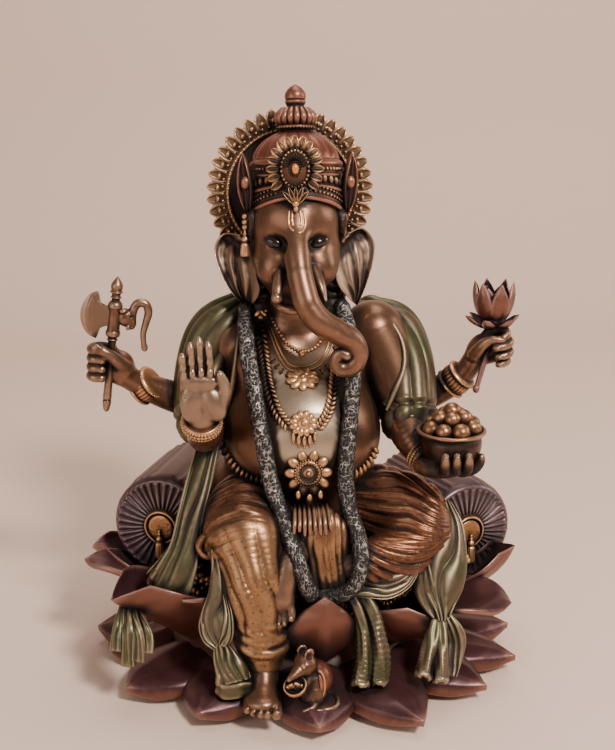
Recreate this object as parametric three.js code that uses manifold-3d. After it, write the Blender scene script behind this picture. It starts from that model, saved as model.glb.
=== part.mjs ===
// Ganesha idol: a cold-cast resin figure seated on a lotus, in millimetres, +Z up, facing -Y.
// The origin is the centre of the felt pad's underside.
// Each cast piece, applied ornament and dowel is its own solid.
import * as THREE from "three";
import { mergeVertices } from "three/addons/utils/BufferGeometryUtils.js";
import Module from "manifold-3d";

const wasm = await Module();
wasm.setup();

// ---- driving dimensions ----
const GLUE_GAP = 0.32; // clearance between glued neighbours
const PAD = { rx: 66, ry: 60, thick: 2 };
const CORE = { radius: 64, depthShare: 0.92, top: 31 };
const POD = { radius: 50, top: 40 };
const SQUEEZE = 0.93; // the lotus is shallower front to back than side to side
const HEAD_AT = [-1, -12, 192];
const CROWN_AT = [-0.5, -9, 208];
const CROWN_TILT = THREE.MathUtils.degToRad(-7); // the crown leans back
const HALO = {
  x: -1.5, z: 212, back: 15.2, front: 10.4,
  radius: 37.4, leaves: 40, recess: 27, recessDeep: 1.6,
};
const BOWL_AT = [63.5, -40];
const BOLSTER = { radius: 21.5, length: 60, splay: THREE.MathUtils.degToRad(26) };
const AXE_Y = -8;
const BALL_SIDES = 10;
const SMALL_SIDES = 6; // balls only a few millimetres across
const LIMB_SIDES = 8;

// ---- geometry to solid and back ----
function solidOf(geometry) {
  const bare = geometry.index ? geometry.toNonIndexed() : geometry.clone();
  bare.deleteAttribute("normal");
  bare.deleteAttribute("uv");
  const merged = mergeVertices(bare, 1e-4);
  return new wasm.Manifold(
    new wasm.Mesh({
      numProp: 3,
      vertProperties: new Float32Array(merged.attributes.position.array),
      triVerts: new Uint32Array(merged.index.array),
    }),
  );
}

function geometryOf(solid) {
  const mesh = solid.getMesh();
  const geometry = new THREE.BufferGeometry();
  geometry.setAttribute("position", new THREE.BufferAttribute(new Float32Array(mesh.vertProperties), 3));
  geometry.setIndex(new THREE.BufferAttribute(new Uint32Array(mesh.triVerts), 1));
  geometry.computeVertexNormals();
  return geometry;
}

function join(...solids) {
  return solids.reduce((sum, solid) => sum.add(solid));
}

// ---- shapes: each takes grow, which makes it that much bigger all round, for cutting its neighbours ----
// An ellipsoid at [x, y, z] with three radii, turned by [rx, ry, rz] radians.
function ball(at, radii, turn = [0, 0, 0], grow = 0, sides = BALL_SIDES) {
  const geometry = new THREE.SphereGeometry(1, sides, Math.round(sides * 0.6));
  geometry.scale(radii[0] + grow, radii[1] + grow, radii[2] + grow);
  geometry.applyMatrix4(new THREE.Matrix4().makeRotationFromEuler(new THREE.Euler(...turn)));
  geometry.translate(...at);
  return solidOf(geometry);
}

// A round-ended limb through [x, y, z, radius] points.
function limb(points, grow = 0, sides = LIMB_SIDES, perSpan = 2) {
  const curve = new THREE.CatmullRomCurve3(points.map((p) => new THREE.Vector3(p[0], p[1], p[2])));
  const radii = points.map((p) => p[3]);
  const steps = (points.length - 1) * perSpan;
  const frames = curve.computeFrenetFrames(steps, false);
  const rings = [];
  const ringAt = (centre, i, radius) => {
    const ring = [];
    for (let k = 0; k < sides; k++) {
      const angle = (2 * Math.PI * k) / sides;
      ring.push(
        centre
          .clone()
          .addScaledVector(frames.normals[i], Math.cos(angle) * radius)
          .addScaledVector(frames.binormals[i], Math.sin(angle) * radius),
      );
    }
    rings.push(ring);
  };
  const endAt = (i, sign, radius) => {
    const centre = curve.getPoint(i / steps);
    const caps = sign < 0 ? [0.85, 0.5] : [0.5, 0.85];
    for (const share of caps) {
      const along = centre.clone().addScaledVector(frames.tangents[i], sign * radius * share);
      ringAt(along, i, radius * Math.sqrt(1 - share * share));
    }
  };
  const radiusAt = (t) => {
    const place = t * (radii.length - 1);
    const low = Math.min(Math.floor(place), radii.length - 2);
    return THREE.MathUtils.lerp(radii[low], radii[low + 1], place - low) + grow;
  };
  endAt(0, -1, radiusAt(0));
  for (let i = 0; i <= steps; i++) ringAt(curve.getPoint(i / steps), i, radiusAt(i / steps));
  endAt(steps, 1, radiusAt(1));
  return solidOf(ringsToGeometry(rings));
}

// A closed skin over a row of rings with the same number of points, capped at both ends.
function ringsToGeometry(rings) {
  const sides = rings[0].length;
  const corners = [];
  const push = (...points) => points.forEach((p) => corners.push(p.x, p.y, p.z));
  for (let i = 0; i + 1 < rings.length; i++)
    for (let k = 0; k < sides; k++) {
      const n = (k + 1) % sides;
      push(rings[i][k], rings[i][n], rings[i + 1][n]);
      push(rings[i][k], rings[i + 1][n], rings[i + 1][k]);
    }
  const last = rings[rings.length - 1];
  const middle = (ring) => ring.reduce((sum, p) => sum.add(p), new THREE.Vector3()).divideScalar(sides);
  const [foot, head] = [middle(rings[0]), middle(last)];
  for (let k = 0; k < sides; k++) {
    const n = (k + 1) % sides;
    push(foot, rings[0][n], rings[0][k]);
    push(head, last[k], last[n]);
  }
  const geometry = new THREE.BufferGeometry();
  geometry.setAttribute("position", new THREE.Float32BufferAttribute(corners, 3));
  return geometry;
}

// A turned piece about the upright axis through at, from [radius, height] points, squeezed front to back.
function turned(at, profile, sides = 24, share = 1, tilt = 0) {
  const outline = profile.map((p) => new THREE.Vector2(Math.max(p[0], 0), p[1]));
  const geometry = new THREE.LatheGeometry(outline, sides);
  geometry.rotateX(Math.PI / 2);
  geometry.scale(1, share, 1);
  geometry.rotateX(tilt);
  geometry.translate(...at);
  return solidOf(geometry);
}

// The same outline, grown: points off the axis move out, and the lowest and highest move apart.
function grown(profile, grow) {
  const heights = profile.map((p) => p[1]);
  const [low, high] = [Math.min(...heights), Math.max(...heights)];
  return profile.map(([r, z]) => [r > 0 ? r + grow : 0, z + (z === low ? -grow : z === high ? grow : 0)]);
}

// A round rod between two points.
function rod(from, to, radius, grow = 0, sides = 12) {
  const [a, b] = [new THREE.Vector3(...from), new THREE.Vector3(...to)];
  const along = b.clone().sub(a);
  const geometry = new THREE.CylinderGeometry(radius + grow, radius + grow, along.length() + 2 * grow, sides);
  const turn = new THREE.Quaternion().setFromUnitVectors(new THREE.Vector3(0, 1, 0), along.normalize());
  geometry.applyQuaternion(turn);
  geometry.translate(...a.add(b).divideScalar(2).toArray());
  return solidOf(geometry);
}

// A plate in the XZ plane from [x, z] points, from y = front to y = back.
function plate(outline, front, back, grow = 0) {
  const shape = new THREE.Shape(outline.map(([x, z]) => new THREE.Vector2(x, z)));
  const geometry = new THREE.ExtrudeGeometry(shape, { depth: back - front + 2 * grow, bevelEnabled: false });
  geometry.rotateX(Math.PI / 2);
  geometry.translate(0, back + grow, 0);
  return solidOf(geometry);
}

// How wide a petal is, as a share of its full width, from its root (0) to its tip (1).
const WAIST = 0.62;
const FULL_AT = 0.45;
function swellAt(s) {
  if (s < FULL_AT) return WAIST + (1 - WAIST) * Math.sin((s / FULL_AT) * (Math.PI / 2));
  return Math.cos(((s - FULL_AT) / (1 - FULL_AT)) * (Math.PI / 2)) ** 0.8;
}

// A petal: a cupped leaf about a spine of [out, up] control points.
// It points out at degrees, where 0 is the front and + is toward +X.
function petal({ degrees, spine, width, thick, cup }, grow = 0) {
  const curve = new THREE.QuadraticBezierCurve(...spine.map(([r, z]) => new THREE.Vector2(r, z)));
  const [along, across] = [6, 2];
  const angle = THREE.MathUtils.degToRad(degrees);
  const [sin, cos] = [Math.sin(angle), Math.cos(angle)];
  const rings = [];
  for (let i = 0; i <= along; i++) {
    const s = i / along;
    const centre = curve.getPoint(s);
    const slope = curve.getTangent(s);
    const half = (width / 2) * Math.max(swellAt(s), 0.05) + grow;
    const top = [];
    const under = [];
    for (let k = 0; k <= across; k++) {
      const v = (2 * k) / across - 1;
      const lift = cup * v * v * Math.min(1, half / (width / 4));
      for (const [list, side] of [[top, 1], [under, -1]]) {
        const off = lift + side * (thick / 2 + grow);
        const out = centre.x - slope.y * off + (i === along ? grow : 0);
        const up = centre.y + slope.x * off;
        const [x, y] = [sin * out + cos * half * v, -cos * out + sin * half * v];
        list.push(new THREE.Vector3(x, y * SQUEEZE, up));
      }
    }
    rings.push([...top, ...under.reverse()]);
  }
  return solidOf(ringsToGeometry(rings.map((ring) => ring.reverse())));
}

// ---- materials ----
const paint = (color, roughness, metalness) =>
  new THREE.MeshStandardMaterial({ color, roughness, metalness });
const SKIN = paint(0x7a5238, 0.35, 0.75);
const GOLD = paint(0xb07a3c, 0.38, 0.85);
const PETAL = paint(0x6a3a33, 0.42, 0.55);
const COPPER = paint(0x8a4f2c, 0.38, 0.7);
const GREEN = paint(0x5d6038, 0.4, 0.6);
const VIOLET = paint(0x574650, 0.5, 0.5);
const SILVERED = paint(0x5a5450, 0.6, 0.5);
const CROWN_RED = paint(0x7d4334, 0.42, 0.6);
const FELT = paint(0x16130f, 0.95, 0.0);
const STEEL = paint(0x9a9a9c, 0.35, 1.0);

// ---- lotus base ----
const coreProfile = [[0, 2.4], [60, 2.4], [64, 9], [59, 20], [52, CORE.top], [0, CORE.top]];
const podProfile = [[0, 31.4], [48, 31.4], [POD.radius, 36], [46, POD.top], [0, POD.top]];

// Twelve thick petals that rest on the table: where each points, how far its tip reaches and how wide it is.
const LOWER_PETALS = [
  { degrees: 1, reach: 100, width: 33 },
  { degrees: 24, reach: 108, width: 33 },
  { degrees: 47, reach: 104, width: 33 },
  { degrees: 67, reach: 104, width: 33 },
  { degrees: 92, reach: 101, width: 36 },
  { degrees: 122, reach: 98, width: 40 },
  { degrees: 158, reach: 96, width: 44 },
  { degrees: 196, reach: 96, width: 44 },
  { degrees: 234, reach: 96, width: 42 },
  { degrees: 272, reach: 95, width: 38 },
  { degrees: 306, reach: 98, width: 36 },
  { degrees: 332, reach: 97, width: 34 },
];
const lowerPetal = ({ degrees, reach, width }) => {
  return { degrees, spine: [[52, 14], [78, 7.5], [reach, 7.5]], width, thick: 6.5, cup: -1.5 };
};

// Eleven thinner petals that curl up and out above them.
const UPPER_PETALS = [
  { name: "front", degrees: 5, spine: [[60, 17], [78, 32], [73, 53]], width: 32 },
  { name: "right_1", degrees: -42, spine: [[54, 20], [74, 34], [84, 53]], width: 32 },
  { name: "right_2", degrees: -60, spine: [[56, 15], [84, 22], [98, 48]], width: 38 },
  { name: "right_3", degrees: -84, spine: [[56, 20], [80, 32], [99, 50]], width: 36 },
  { name: "right_4", degrees: -108, spine: [[56, 20], [80, 36], [99, 53]], width: 36 },
  { name: "right_5", degrees: -148, spine: [[56, 20], [76, 36], [88, 47]], width: 48 },
  { name: "left_1", degrees: 43, spine: [[54, 15], [78, 21], [86, 34]], width: 36 },
  { name: "left_2", degrees: 64, spine: [[56, 15], [84, 23], [103, 38]], width: 38 },
  { name: "left_3", degrees: 86, spine: [[56, 20], [84, 30], [103, 47]], width: 36 },
  { name: "left_4", degrees: 110, spine: [[56, 20], [82, 34], [104, 50]], width: 36 },
  { name: "left_5", degrees: 150, spine: [[56, 20], [76, 36], [88, 47]], width: 48 },
];

// ---- the figure ----
const torso = (grow) =>
  join(
    ball([1, -10, 108], [36, 34, 33], undefined, grow),
    ball([0, 2, 138], [30, 22, 25], undefined, grow),
    ball([0, 6, 72], [42, 36, 31], undefined, grow),
    ball([-32, 6, 148], [12, 12, 12], undefined, grow),
    ball([34, 4, 148], [14, 13, 13], undefined, grow),
    ball([-1, -5, 162], [14, 13, 13], undefined, grow),
  );

const TRUNK = [
  [-2, -26, 200, 6.6], [-2.4, -37, 193, 6.2], [-1.3, -44, 183, 5.8],
  [1.3, -47, 172.5, 5.8], [7, -46, 165.6, 5.5],
  [14, -45, 161, 5.2], [20, -44, 156.6, 4.8],
];
const TRUNK_CURL = [
  [20.6, -44, 156, 4.7], [22.8, -43, 151, 4.2], [20.4, -43, 146, 3.8],
  [15.6, -43, 145.4, 3.4], [13.2, -43.5, 149, 3],
  [15.4, -45, 152.6, 2.5],
];
const head = (grow) =>
  join(
    ball(HEAD_AT, [19.5, 21, 24], undefined, grow),
    ball([-11, -24, 184], [8.5, 9, 10], undefined, grow),
    ball([8, -24, 184], [8.5, 9, 10], undefined, grow),
    ball([-3, -25, 173], [9, 8, 7], undefined, grow),
    ball([-15, -3, 172], [9, 8, 13], undefined, grow),
    ball([13, -3, 172], [9, 8, 13], undefined, grow),
    limb(TRUNK, grow, LIMB_SIDES, 1),
    limb(TRUNK_CURL, grow, LIMB_SIDES, 1),
    limb([[-9, -33, 182, 2.4], [-11, -38, 176, 2.2], [-12, -41, 171, 1.8]], grow, 6, 1),
    limb([[5, -33, 182, 2.4], [8, -38, 176, 2.2], [9.5, -41, 171, 1.6]], grow, 6, 1),
  );

const ear = (side) => (grow) =>
  join(
    ball([-3.5 + side * 25, -4, 184], [10.5, 3.2, 12], [0, side * 0.25, side * -0.35], grow, 8),
    ball([-3.5 + side * 22, -7, 174], [7, 3, 10], [0, side * 0.35, side * -0.35], grow, 8),
  );

const crownProfile = [
  [0, -3], [18.6, -3], [20.4, 0], [20.8, 3], [19.8, 7], [20.6, 13.5], [19.2, 15.5], [17.2, 21.5],
  [12.5, 27], [8, 30.4], [7.2, 32], [8.6, 34], [8.6, 38], [6, 40.4], [0, 40.4],
];
const finialProfile = [
  [0, 40.8], [4.2, 40.8], [4.6, 44], [3.6, 45],
  [4.5, 46.6], [4.2, 48.6], [2.4, 50.8], [0, 51.9],
];

const crown = (grow) =>
  join(
    turned(CROWN_AT, grown(crownProfile, grow), 18, 1, CROWN_TILT),
    ball([-0.5, -29.5, 221], [10.8, 3.2, 15.5], [-0.18, 0, 0], grow),
    ball([-21.5, -12, 219], [3.2, 2.4, 14], [0, -0.12, 0], grow, SMALL_SIDES),
    ball([20.5, -12, 219], [3.2, 2.4, 14], [0, 0.12, 0], grow, SMALL_SIDES),
  );

function halo(grow) {
  const outline = [];
  for (let i = 0; i < 2 * HALO.leaves; i++) {
    const angle = (Math.PI * (i + 0.5)) / HALO.leaves;
    const radius = HALO.radius + grow - (i % 2 ? 3.2 : 0);
    outline.push([HALO.x + radius * Math.sin(angle), HALO.z + radius * Math.cos(angle)]);
  }
  const disc = plate(outline.reverse(), HALO.front, HALO.back, grow);
  const depth = HALO.front + HALO.recessDeep;
  const recess = rod([HALO.x, HALO.front - 5, HALO.z], [HALO.x, depth, HALO.z], HALO.recess - grow, 0, 32);
  return disc.subtract(recess);
}

// ---- arms: shoulder to wrist, then the hand ----
const armRearRight = (grow) =>
  join(
    limb([[-29, 15, 130, 9], [-42, 11, 116, 8.2]], grow),
    limb([[-43, 11, 115, 7.8], [-66, 0, 126.5, 6.4], [-75, -4, 133, 5.6]], grow),
    ball([-81, -6, 139], [8.2, 7.2, 8.4], undefined, grow),
    ball([-89, -10, 141], [4, 5.5, 8], undefined, grow, SMALL_SIDES),
  );
const armRearLeft = (grow) =>
  join(
    limb([[31, 15, 128, 9], [45, 11, 113, 8.2]], grow),
    limb([[46, 11, 112, 7.8], [71, 1, 125, 6.4], [78.5, -3.5, 133.5, 5.6]], grow),
    limb([[79, -4, 134, 6], [84, -6, 143, 6.6], [88, -7.5, 151, 4.6]], grow, LIMB_SIDES, 1),
    ball([93, -9, 144.5], [4.6, 4.6, 6.5], undefined, grow, SMALL_SIDES),
  );
const FINGERS = [
  { foot: [-49.6, -53, 143], tip: [-49.6, -54.5, 155.5], radius: 2.1 },
  { foot: [-45.6, -53, 145], tip: [-46.1, -55, 159], radius: 2.3 },
  { foot: [-41.6, -53, 145], tip: [-42.6, -55, 162], radius: 2.35 },
  { foot: [-37.8, -53, 144], tip: [-39.2, -54.5, 160], radius: 2.25 },
  { foot: [-35.4, -50, 131], tip: [-32.6, -54, 145.5], radius: 2.7 },
];
const armFrontRight = (grow) =>
  join(
    limb([[-33, 5, 147, 10.5], [-39, 1, 129, 9.8], [-41, -7, 115, 9.2]], grow),
    limb([[-41, -9, 114, 8.8], [-42, -28, 113.5, 7.8], [-42, -48, 123, 5.8]], grow),
    ball([-42.5, -50, 133], [10, 4.6, 14], undefined, grow),
    ...FINGERS.map(({ foot, tip, radius }) => {
      return limb([[...foot, radius + 0.4], [...tip, radius - 0.2]], grow, 6, 1);
    }),
  );
const armFrontLeft = (grow) =>
  join(
    limb([[34, 2, 149, 14.5], [41, -3, 135, 12.4], [46, -12, 119, 10]], grow),
    limb([[46, -13, 118, 9.3], [48, -24, 109.5, 8.2], [53, -34, 103, 7]], grow),
    ball([62, -41, 100], [12.5, 10.5, 6.5], undefined, grow),
    limb([[70, -46, 99, 3], [74.5, -49, 104, 2.6], [75, -50, 109, 2.2]], grow, 6, 1),
  );

const bangle = (at, along, radius) => (grow) => {
  const [x, y, z] = at;
  const [dx, dy, dz] = new THREE.Vector3(...along).normalize().multiplyScalar(4.2).toArray();
  return rod([x - dx, y - dy, z - dz], [x + dx, y + dy, z + dz], radius, grow, 16);
};

// ---- what the hands hold ----
const BLADE = [
  [-80, 166], [-85, 165.5], [-88.5, 171.5], [-92, 169.5], [-95, 164],
  [-95.2, 158], [-92.5, 153], [-89.5, 151.5], [-86.5, 156.5], [-80, 156],
];
const GOAD = [[-78, 156.5], [-72, 156], [-70.5, 159], [-71, 162.5], [-78, 163]];
const HOOK = [
  [-71, AXE_Y, 166.2, 1.8], [-67, AXE_Y, 166.4, 1.7],
  [-65.4, AXE_Y, 161, 1.6], [-67.6, AXE_Y, 147, 1.3],
];
const axe = (grow) =>
  join(
    rod([-85.4, AXE_Y, 119], [-78.4, AXE_Y, 174], 1.9, grow),
    rod([-81.2, AXE_Y, 152.5], [-79.2, AXE_Y, 168.5], 3.1, grow),
    ball([-78.1, AXE_Y, 174], [2.7, 2.7, 4.2], undefined, grow),
    plate(BLADE, AXE_Y - 1.3, AXE_Y + 1.3, grow),
    plate(GOAD, AXE_Y - 2, AXE_Y + 2, grow),
    limb([[-72.5, AXE_Y, 160, 1.9], [-71.6, AXE_Y, 165.4, 1.9]], grow, 6, 1),
    limb(HOOK, grow, 6, 2),
  );

const LOTUS_AT = [87, -6];
const LOTUS_LEAVES = 6;
const lotusProfile = [[0, 150], [2.2, 150], [2.6, 153], [7.5, 157.5], [6.4, 160], [4.6, 167], [0, 171]];
const heldLotus = (grow) => {
  const leaves = [];
  for (let i = 0; i < LOTUS_LEAVES; i++) {
    const angle = (2 * Math.PI * i) / LOTUS_LEAVES;
    const [sin, cos] = [Math.sin(angle), Math.cos(angle)];
    leaves.push(
      limb([
        [LOTUS_AT[0] + 4 * sin, LOTUS_AT[1] - 4 * cos, 158, 2.6],
        [LOTUS_AT[0] + 7 * sin, LOTUS_AT[1] - 7 * cos, 166, 3],
        [LOTUS_AT[0] + 9 * sin, LOTUS_AT[1] - 9 * cos, 174, 1],
      ], grow, 6, 1),
    );
  }
  return join(
    turned([...LOTUS_AT, 0], grown(lotusProfile, grow), 12),
    rod([81.5, -11, 129], [86.5, -7, 152], 1.4, grow, 8),
    ...leaves,
  );
};

const bowlProfile = [
  [0, 99.6], [7.5, 99.6], [12, 104.5], [13.6, 111], [14.9, 115.6],
  [13, 115.6], [11.6, 110], [8, 105], [0, 104],
];
const bowl = (grow) => turned([...BOWL_AT, 0], grown(bowlProfile, grow), 24);

const SWEET = 4.1; // radius of one sweet
const sweets = (grow) => {
  const balls = [ball([...BOWL_AT, 112], [10.2, 10.2, 5.4], undefined, grow, SMALL_SIDES)];
  for (let i = 0; i < 7; i++) {
    const angle = (2 * Math.PI * i) / 7;
    const at = [BOWL_AT[0] + 8.4 * Math.cos(angle), BOWL_AT[1] + 8.4 * Math.sin(angle), 117];
    balls.push(ball(at, [SWEET, SWEET, SWEET], undefined, grow, SMALL_SIDES));
  }
  for (let i = 0; i < 3; i++) {
    const angle = (2 * Math.PI * i) / 3 - 0.5;
    const at = [BOWL_AT[0] + 3.6 * Math.cos(angle), BOWL_AT[1] + 3.6 * Math.sin(angle), 121];
    balls.push(ball(at, [SWEET, SWEET, SWEET], undefined, grow, SMALL_SIDES));
  }
  return join(...balls);
};

// ---- seat cushions ----
const bolster = (side) => (grow) => {
  const end = side < 0 ? [-62, -9, 63] : [78, -9, 57.5];
  const far = BOLSTER.length;
  const [sin, cos] = [Math.sin(BOLSTER.splay), Math.cos(BOLSTER.splay)];
  const back = [end[0] - side * far * sin, end[1] + far * cos, end[2]];
  return rod(end, back, BOLSTER.radius, grow, 24);
};

// ---- legs and cloth ----
const legRight = (grow) =>
  join(
    limb([[-16, -4, 66, 19], [-22, -28, 70, 18.5], [-24, -46, 70, 15.5]], grow),
    limb([[-24, -50, 68, 14.5], [-22, -59, 51, 12.5], [-20.5, -61, 39, 11], [-19.8, -63, 27, 9]], grow),
    limb([[-19.6, -64, 28, 6.6], [-19.4, -66, 18, 6.2]], grow),
    ball([-19.6, -73, 14.2], [7.4, 12, 5], [-0.12, 0, 0], grow),
  );
const legLeft = (grow) =>
  join(
    limb([[16, -2, 66, 19], [36, -14, 68, 20], [50, -24, 68, 18.5], [57, -32, 65, 15.5]], grow),
    limb([[56, -38, 60, 13.5], [40, -46, 55, 12.5], [18, -51, 56, 10.5], [2, -55, 59, 8]], grow),
    limb([[1, -55, 60, 7.5], [-4, -59, 60, 6.4], [-7.6, -62, 52, 5], [-9, -65, 45.5, 4.2]], grow),
  );
const apron = (grow) => ball([6, -46, 70], [13, 8, 22], [0.25, 0, 0], grow);

const GARLAND_R = 4.4;
const garland = (path) => (grow) => limb(path.map((p) => [...p, GARLAND_R]), grow, 8, 1);
const GARLAND_RIGHT = [
  [-22.8, -10, 163], [-23.2, -20, 154], [-22.4, -29, 143], [-20.8, -36, 131],
  [-18.4, -43, 115], [-14.8, -46, 98], [-10.4, -51, 82], [-5.6, -59, 67], [-1.6, -62, 56],
];
const GARLAND_LEFT = [
  [19, -12, 165], [21, -20, 156], [22, -28, 145], [21, -34, 133], [19.6, -40, 120],
  [17.4, -43, 105], [17.6, -46, 92], [20.6, -52, 79], [22.6, -58, 67], [18, -62, 57.5], [9, -62.5, 53.6],
];

const shawlRight = (grow) =>
  limb([[-22, 8, 161, 9], [-35, 7, 151, 13], [-42, 3, 134, 12.6], [-43, -5, 117, 11.8]], grow, 10, 1);
const shawlLeft = (grow) =>
  limb([[36, 16, 154, 9], [45, 9, 148, 12], [49, 0, 135, 13], [49, -12, 119, 12.6]], grow, 10, 1);
const DRAPE_RIGHT = [
  [-37, -22, 102, 5], [-43, -29, 92, 5.4], [-48, -35, 80, 5.6], [-51, -39, 68, 6],
  [-57, -42, 58, 7.4], [-66, -44, 53, 6.6], [-74, -47, 48, 5.6],
];
const drapeRight = (grow) => limb(DRAPE_RIGHT, grow, LIMB_SIDES, 1);
const drapeEnd = (grow) => limb([[-76, -51, 40, 7], [-76, -58, 32, 9], [-75, -62, 25, 9]], grow);
const DRAPE_LEFT = [
  [59, -37, 72, 7], [56, -45, 58, 9.5], [53.5, -53, 45, 7.6], [53.5, -59, 35, 4.6],
  [52, -66, 26, 8], [51, -71, 20, 8.5],
];
const drapeLeft = (grow) => limb(DRAPE_LEFT, grow, LIMB_SIDES, 1);
const drapeFront = (grow) => limb([[25, -56, 52, 5], [25, -63, 38, 7], [23, -69, 24, 8.4]], grow);
const mouse = (grow) =>
  join(
    ball([1, -74, 20], [8, 8, 8.5], undefined, grow),
    ball([-3, -77, 29], [6, 6, 6.4], undefined, grow),
    ball([-7, -81, 24.5], [5, 4.4, 4.6], undefined, grow),
  );
const NECKLACE = [
  [-13, -18, 156, 2.6], [-13.5, -31, 141, 2.8], [-8.5, -40, 127, 3], [0, -43.5, 119, 5],
  [8.5, -40, 127, 3], [14, -33, 137, 2.8], [15, -20, 152, 2.4],
];
const necklace = (grow) => limb(NECKLACE, grow, 6, 1);
const beltClasp = (grow) => rod([1.4, -41, 99.6], [1.4, -47.5, 100.6], 9.8, grow, 20);

// ---- the dowel inside the neck joint ----
const neckDowel = (grow) => rod([-1, -8, 156], [-1, -8, 186], 2, grow);

// Earlier pieces keep their shape, and each later one is cut back from them by the glue gap.
const padProfile = [[0, 0], [PAD.rx, 0], [PAD.rx, PAD.thick], [0, PAD.thick]];
const pieces = [
  ["felt_pad", FELT, (grow) => turned([0, 0, 0], grown(padProfile, grow), 32, PAD.ry / PAD.rx)],
  ["neck_dowel", STEEL, neckDowel],
  ["lotus_core", PETAL, (grow) => turned([0, 0, 0], grown(coreProfile, grow), 32, CORE.depthShare)],
  ["seed_pod", GOLD, (grow) => turned([0, 0, 0], grown(podProfile, grow), 32, CORE.depthShare)],
  ["axe", SKIN, axe],
  ["held_lotus", PETAL, heldLotus],
  ["bowl", SKIN, bowl],
  ["sweets", GOLD, sweets],
  ["torso", SKIN, torso],
  ["head_with_trunk", SKIN, head],
  ["crown", CROWN_RED, crown],
  ["crown_finial", CROWN_RED, (grow) => turned(CROWN_AT, grown(finialProfile, grow), 12, 1, CROWN_TILT)],
  ["halo", GOLD, halo],
  ["ear_right", SKIN, ear(-1)],
  ["ear_left", SKIN, ear(1)],
  ["arm_rear_right", SKIN, armRearRight],
  ["arm_rear_left", SKIN, armRearLeft],
  ["arm_front_right", SKIN, armFrontRight],
  ["arm_front_left", SKIN, armFrontLeft],
  ["bangle_rear_right", GOLD, bangle([-68, -1, 128], [9, -4, 6.4], 7.8)],
  ["bangle_rear_left", GOLD, bangle([73.4, -0.6, 127.6], [7.5, -4.5, 8.5], 7.6)],
  ["bolster_right", VIOLET, bolster(-1)],
  ["bolster_left", VIOLET, bolster(1)],
  ["leg_right", COPPER, legRight],
  ["leg_left", COPPER, legLeft],
  ["apron", COPPER, apron],
  ["garland_right", SILVERED, garland(GARLAND_RIGHT)],
  ["garland_left", SILVERED, garland(GARLAND_LEFT)],
  ["belt_clasp", GOLD, beltClasp],
  ["necklace", GOLD, necklace],
  ["shawl_right", GREEN, shawlRight],
  ["shawl_left", GREEN, shawlLeft],
  ["drape_right", GREEN, drapeRight],
  ["drape_left", GREEN, drapeLeft],
  ["drape_front", GREEN, drapeFront],
  ["mouse", GOLD, mouse],
];
for (const { name, ...place } of UPPER_PETALS) {
  const shape = { ...place, thick: 4, cup: 3.2 };
  pieces.push([`upper_petal_${name}`, PETAL, (grow) => petal(shape, grow)]);
}
pieces.push(["drape_right_end", GREEN, drapeEnd]);
LOWER_PETALS.forEach((place, i) => {
  pieces.push([`lower_petal_${i + 1}`, PETAL, (grow) => petal(lowerPetal(place), grow)]);
});

// Cutting can leave loose slivers behind, so only the largest body is kept.
function largest(solid) {
  return solid.decompose().reduce((best, body) => (body.volume() > best.volume() ? body : best));
}

function boxesMeet(a, b) {
  return [0, 1, 2].every((k) => a.min[k] < b.max[k] && b.min[k] < a.max[k]);
}

const idol = new THREE.Group();
const cutters = [];
for (const [name, material, make] of pieces) {
  let solid = make(0);
  const box = solid.boundingBox();
  for (const cutter of cutters) if (boxesMeet(box, cutter.box)) solid = solid.subtract(cutter.solid);
  solid = largest(solid);
  const wide = make(GLUE_GAP);
  cutters.push({ solid: wide, box: wide.boundingBox() });
  const mesh = new THREE.Mesh(geometryOf(solid), material);
  mesh.name = name;
  idol.add(mesh);
}

export default idol;
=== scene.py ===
# The looks of a cold-cast bronze Ganesha idol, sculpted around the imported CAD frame.
# Shapes are worked out in millimetres in the frame's own axes: +Z is up, the figure faces -Y, and +X is on
# its left.
from math import cos, pi, radians, sin

import bpy
import numpy as np
import openvdb
from mathutils import Euler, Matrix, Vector
from mathutils.bvhtree import BVHTree


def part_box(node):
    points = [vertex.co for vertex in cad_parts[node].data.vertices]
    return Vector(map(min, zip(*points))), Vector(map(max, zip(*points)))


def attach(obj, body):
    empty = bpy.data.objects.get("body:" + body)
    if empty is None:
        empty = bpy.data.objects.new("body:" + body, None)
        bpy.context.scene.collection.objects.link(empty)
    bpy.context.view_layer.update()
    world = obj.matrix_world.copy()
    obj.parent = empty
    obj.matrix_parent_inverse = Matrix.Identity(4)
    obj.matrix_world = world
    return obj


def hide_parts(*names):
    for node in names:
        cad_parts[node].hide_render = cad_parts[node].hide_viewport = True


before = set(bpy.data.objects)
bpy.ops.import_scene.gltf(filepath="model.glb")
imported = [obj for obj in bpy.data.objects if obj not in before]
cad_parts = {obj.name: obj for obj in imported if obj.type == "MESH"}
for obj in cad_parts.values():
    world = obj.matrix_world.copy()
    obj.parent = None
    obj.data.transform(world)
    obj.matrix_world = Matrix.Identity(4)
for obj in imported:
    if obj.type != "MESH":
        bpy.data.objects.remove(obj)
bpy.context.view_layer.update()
MM = 0.001  # metres in a millimetre


# ---- camera and stage ----
CAMERA_AIM = (5.0, 0.0, 131.0)
CAMERA_DISTANCE = 540.0
CAMERA_AZIMUTH = radians(-5)
CAMERA_ELEVATION = radians(15)
LENS_MM = 57.1


def place_camera():
    back = Vector((
        sin(CAMERA_AZIMUTH) * cos(CAMERA_ELEVATION),
        -cos(CAMERA_AZIMUTH) * cos(CAMERA_ELEVATION),
        sin(CAMERA_ELEVATION),
    ))
    data = bpy.data.cameras.new("camera")
    data.lens = LENS_MM
    data.sensor_fit = "VERTICAL"
    data.sensor_height = 36.0
    data.clip_start = 0.01
    data.clip_end = 20.0
    camera = bpy.data.objects.new("camera", data)
    camera.location = (Vector(CAMERA_AIM) + back * CAMERA_DISTANCE) * MM
    camera.rotation_euler = back.to_track_quat("Z", "Y").to_euler()
    bpy.context.scene.collection.objects.link(camera)
    bpy.context.scene.camera = camera


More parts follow.
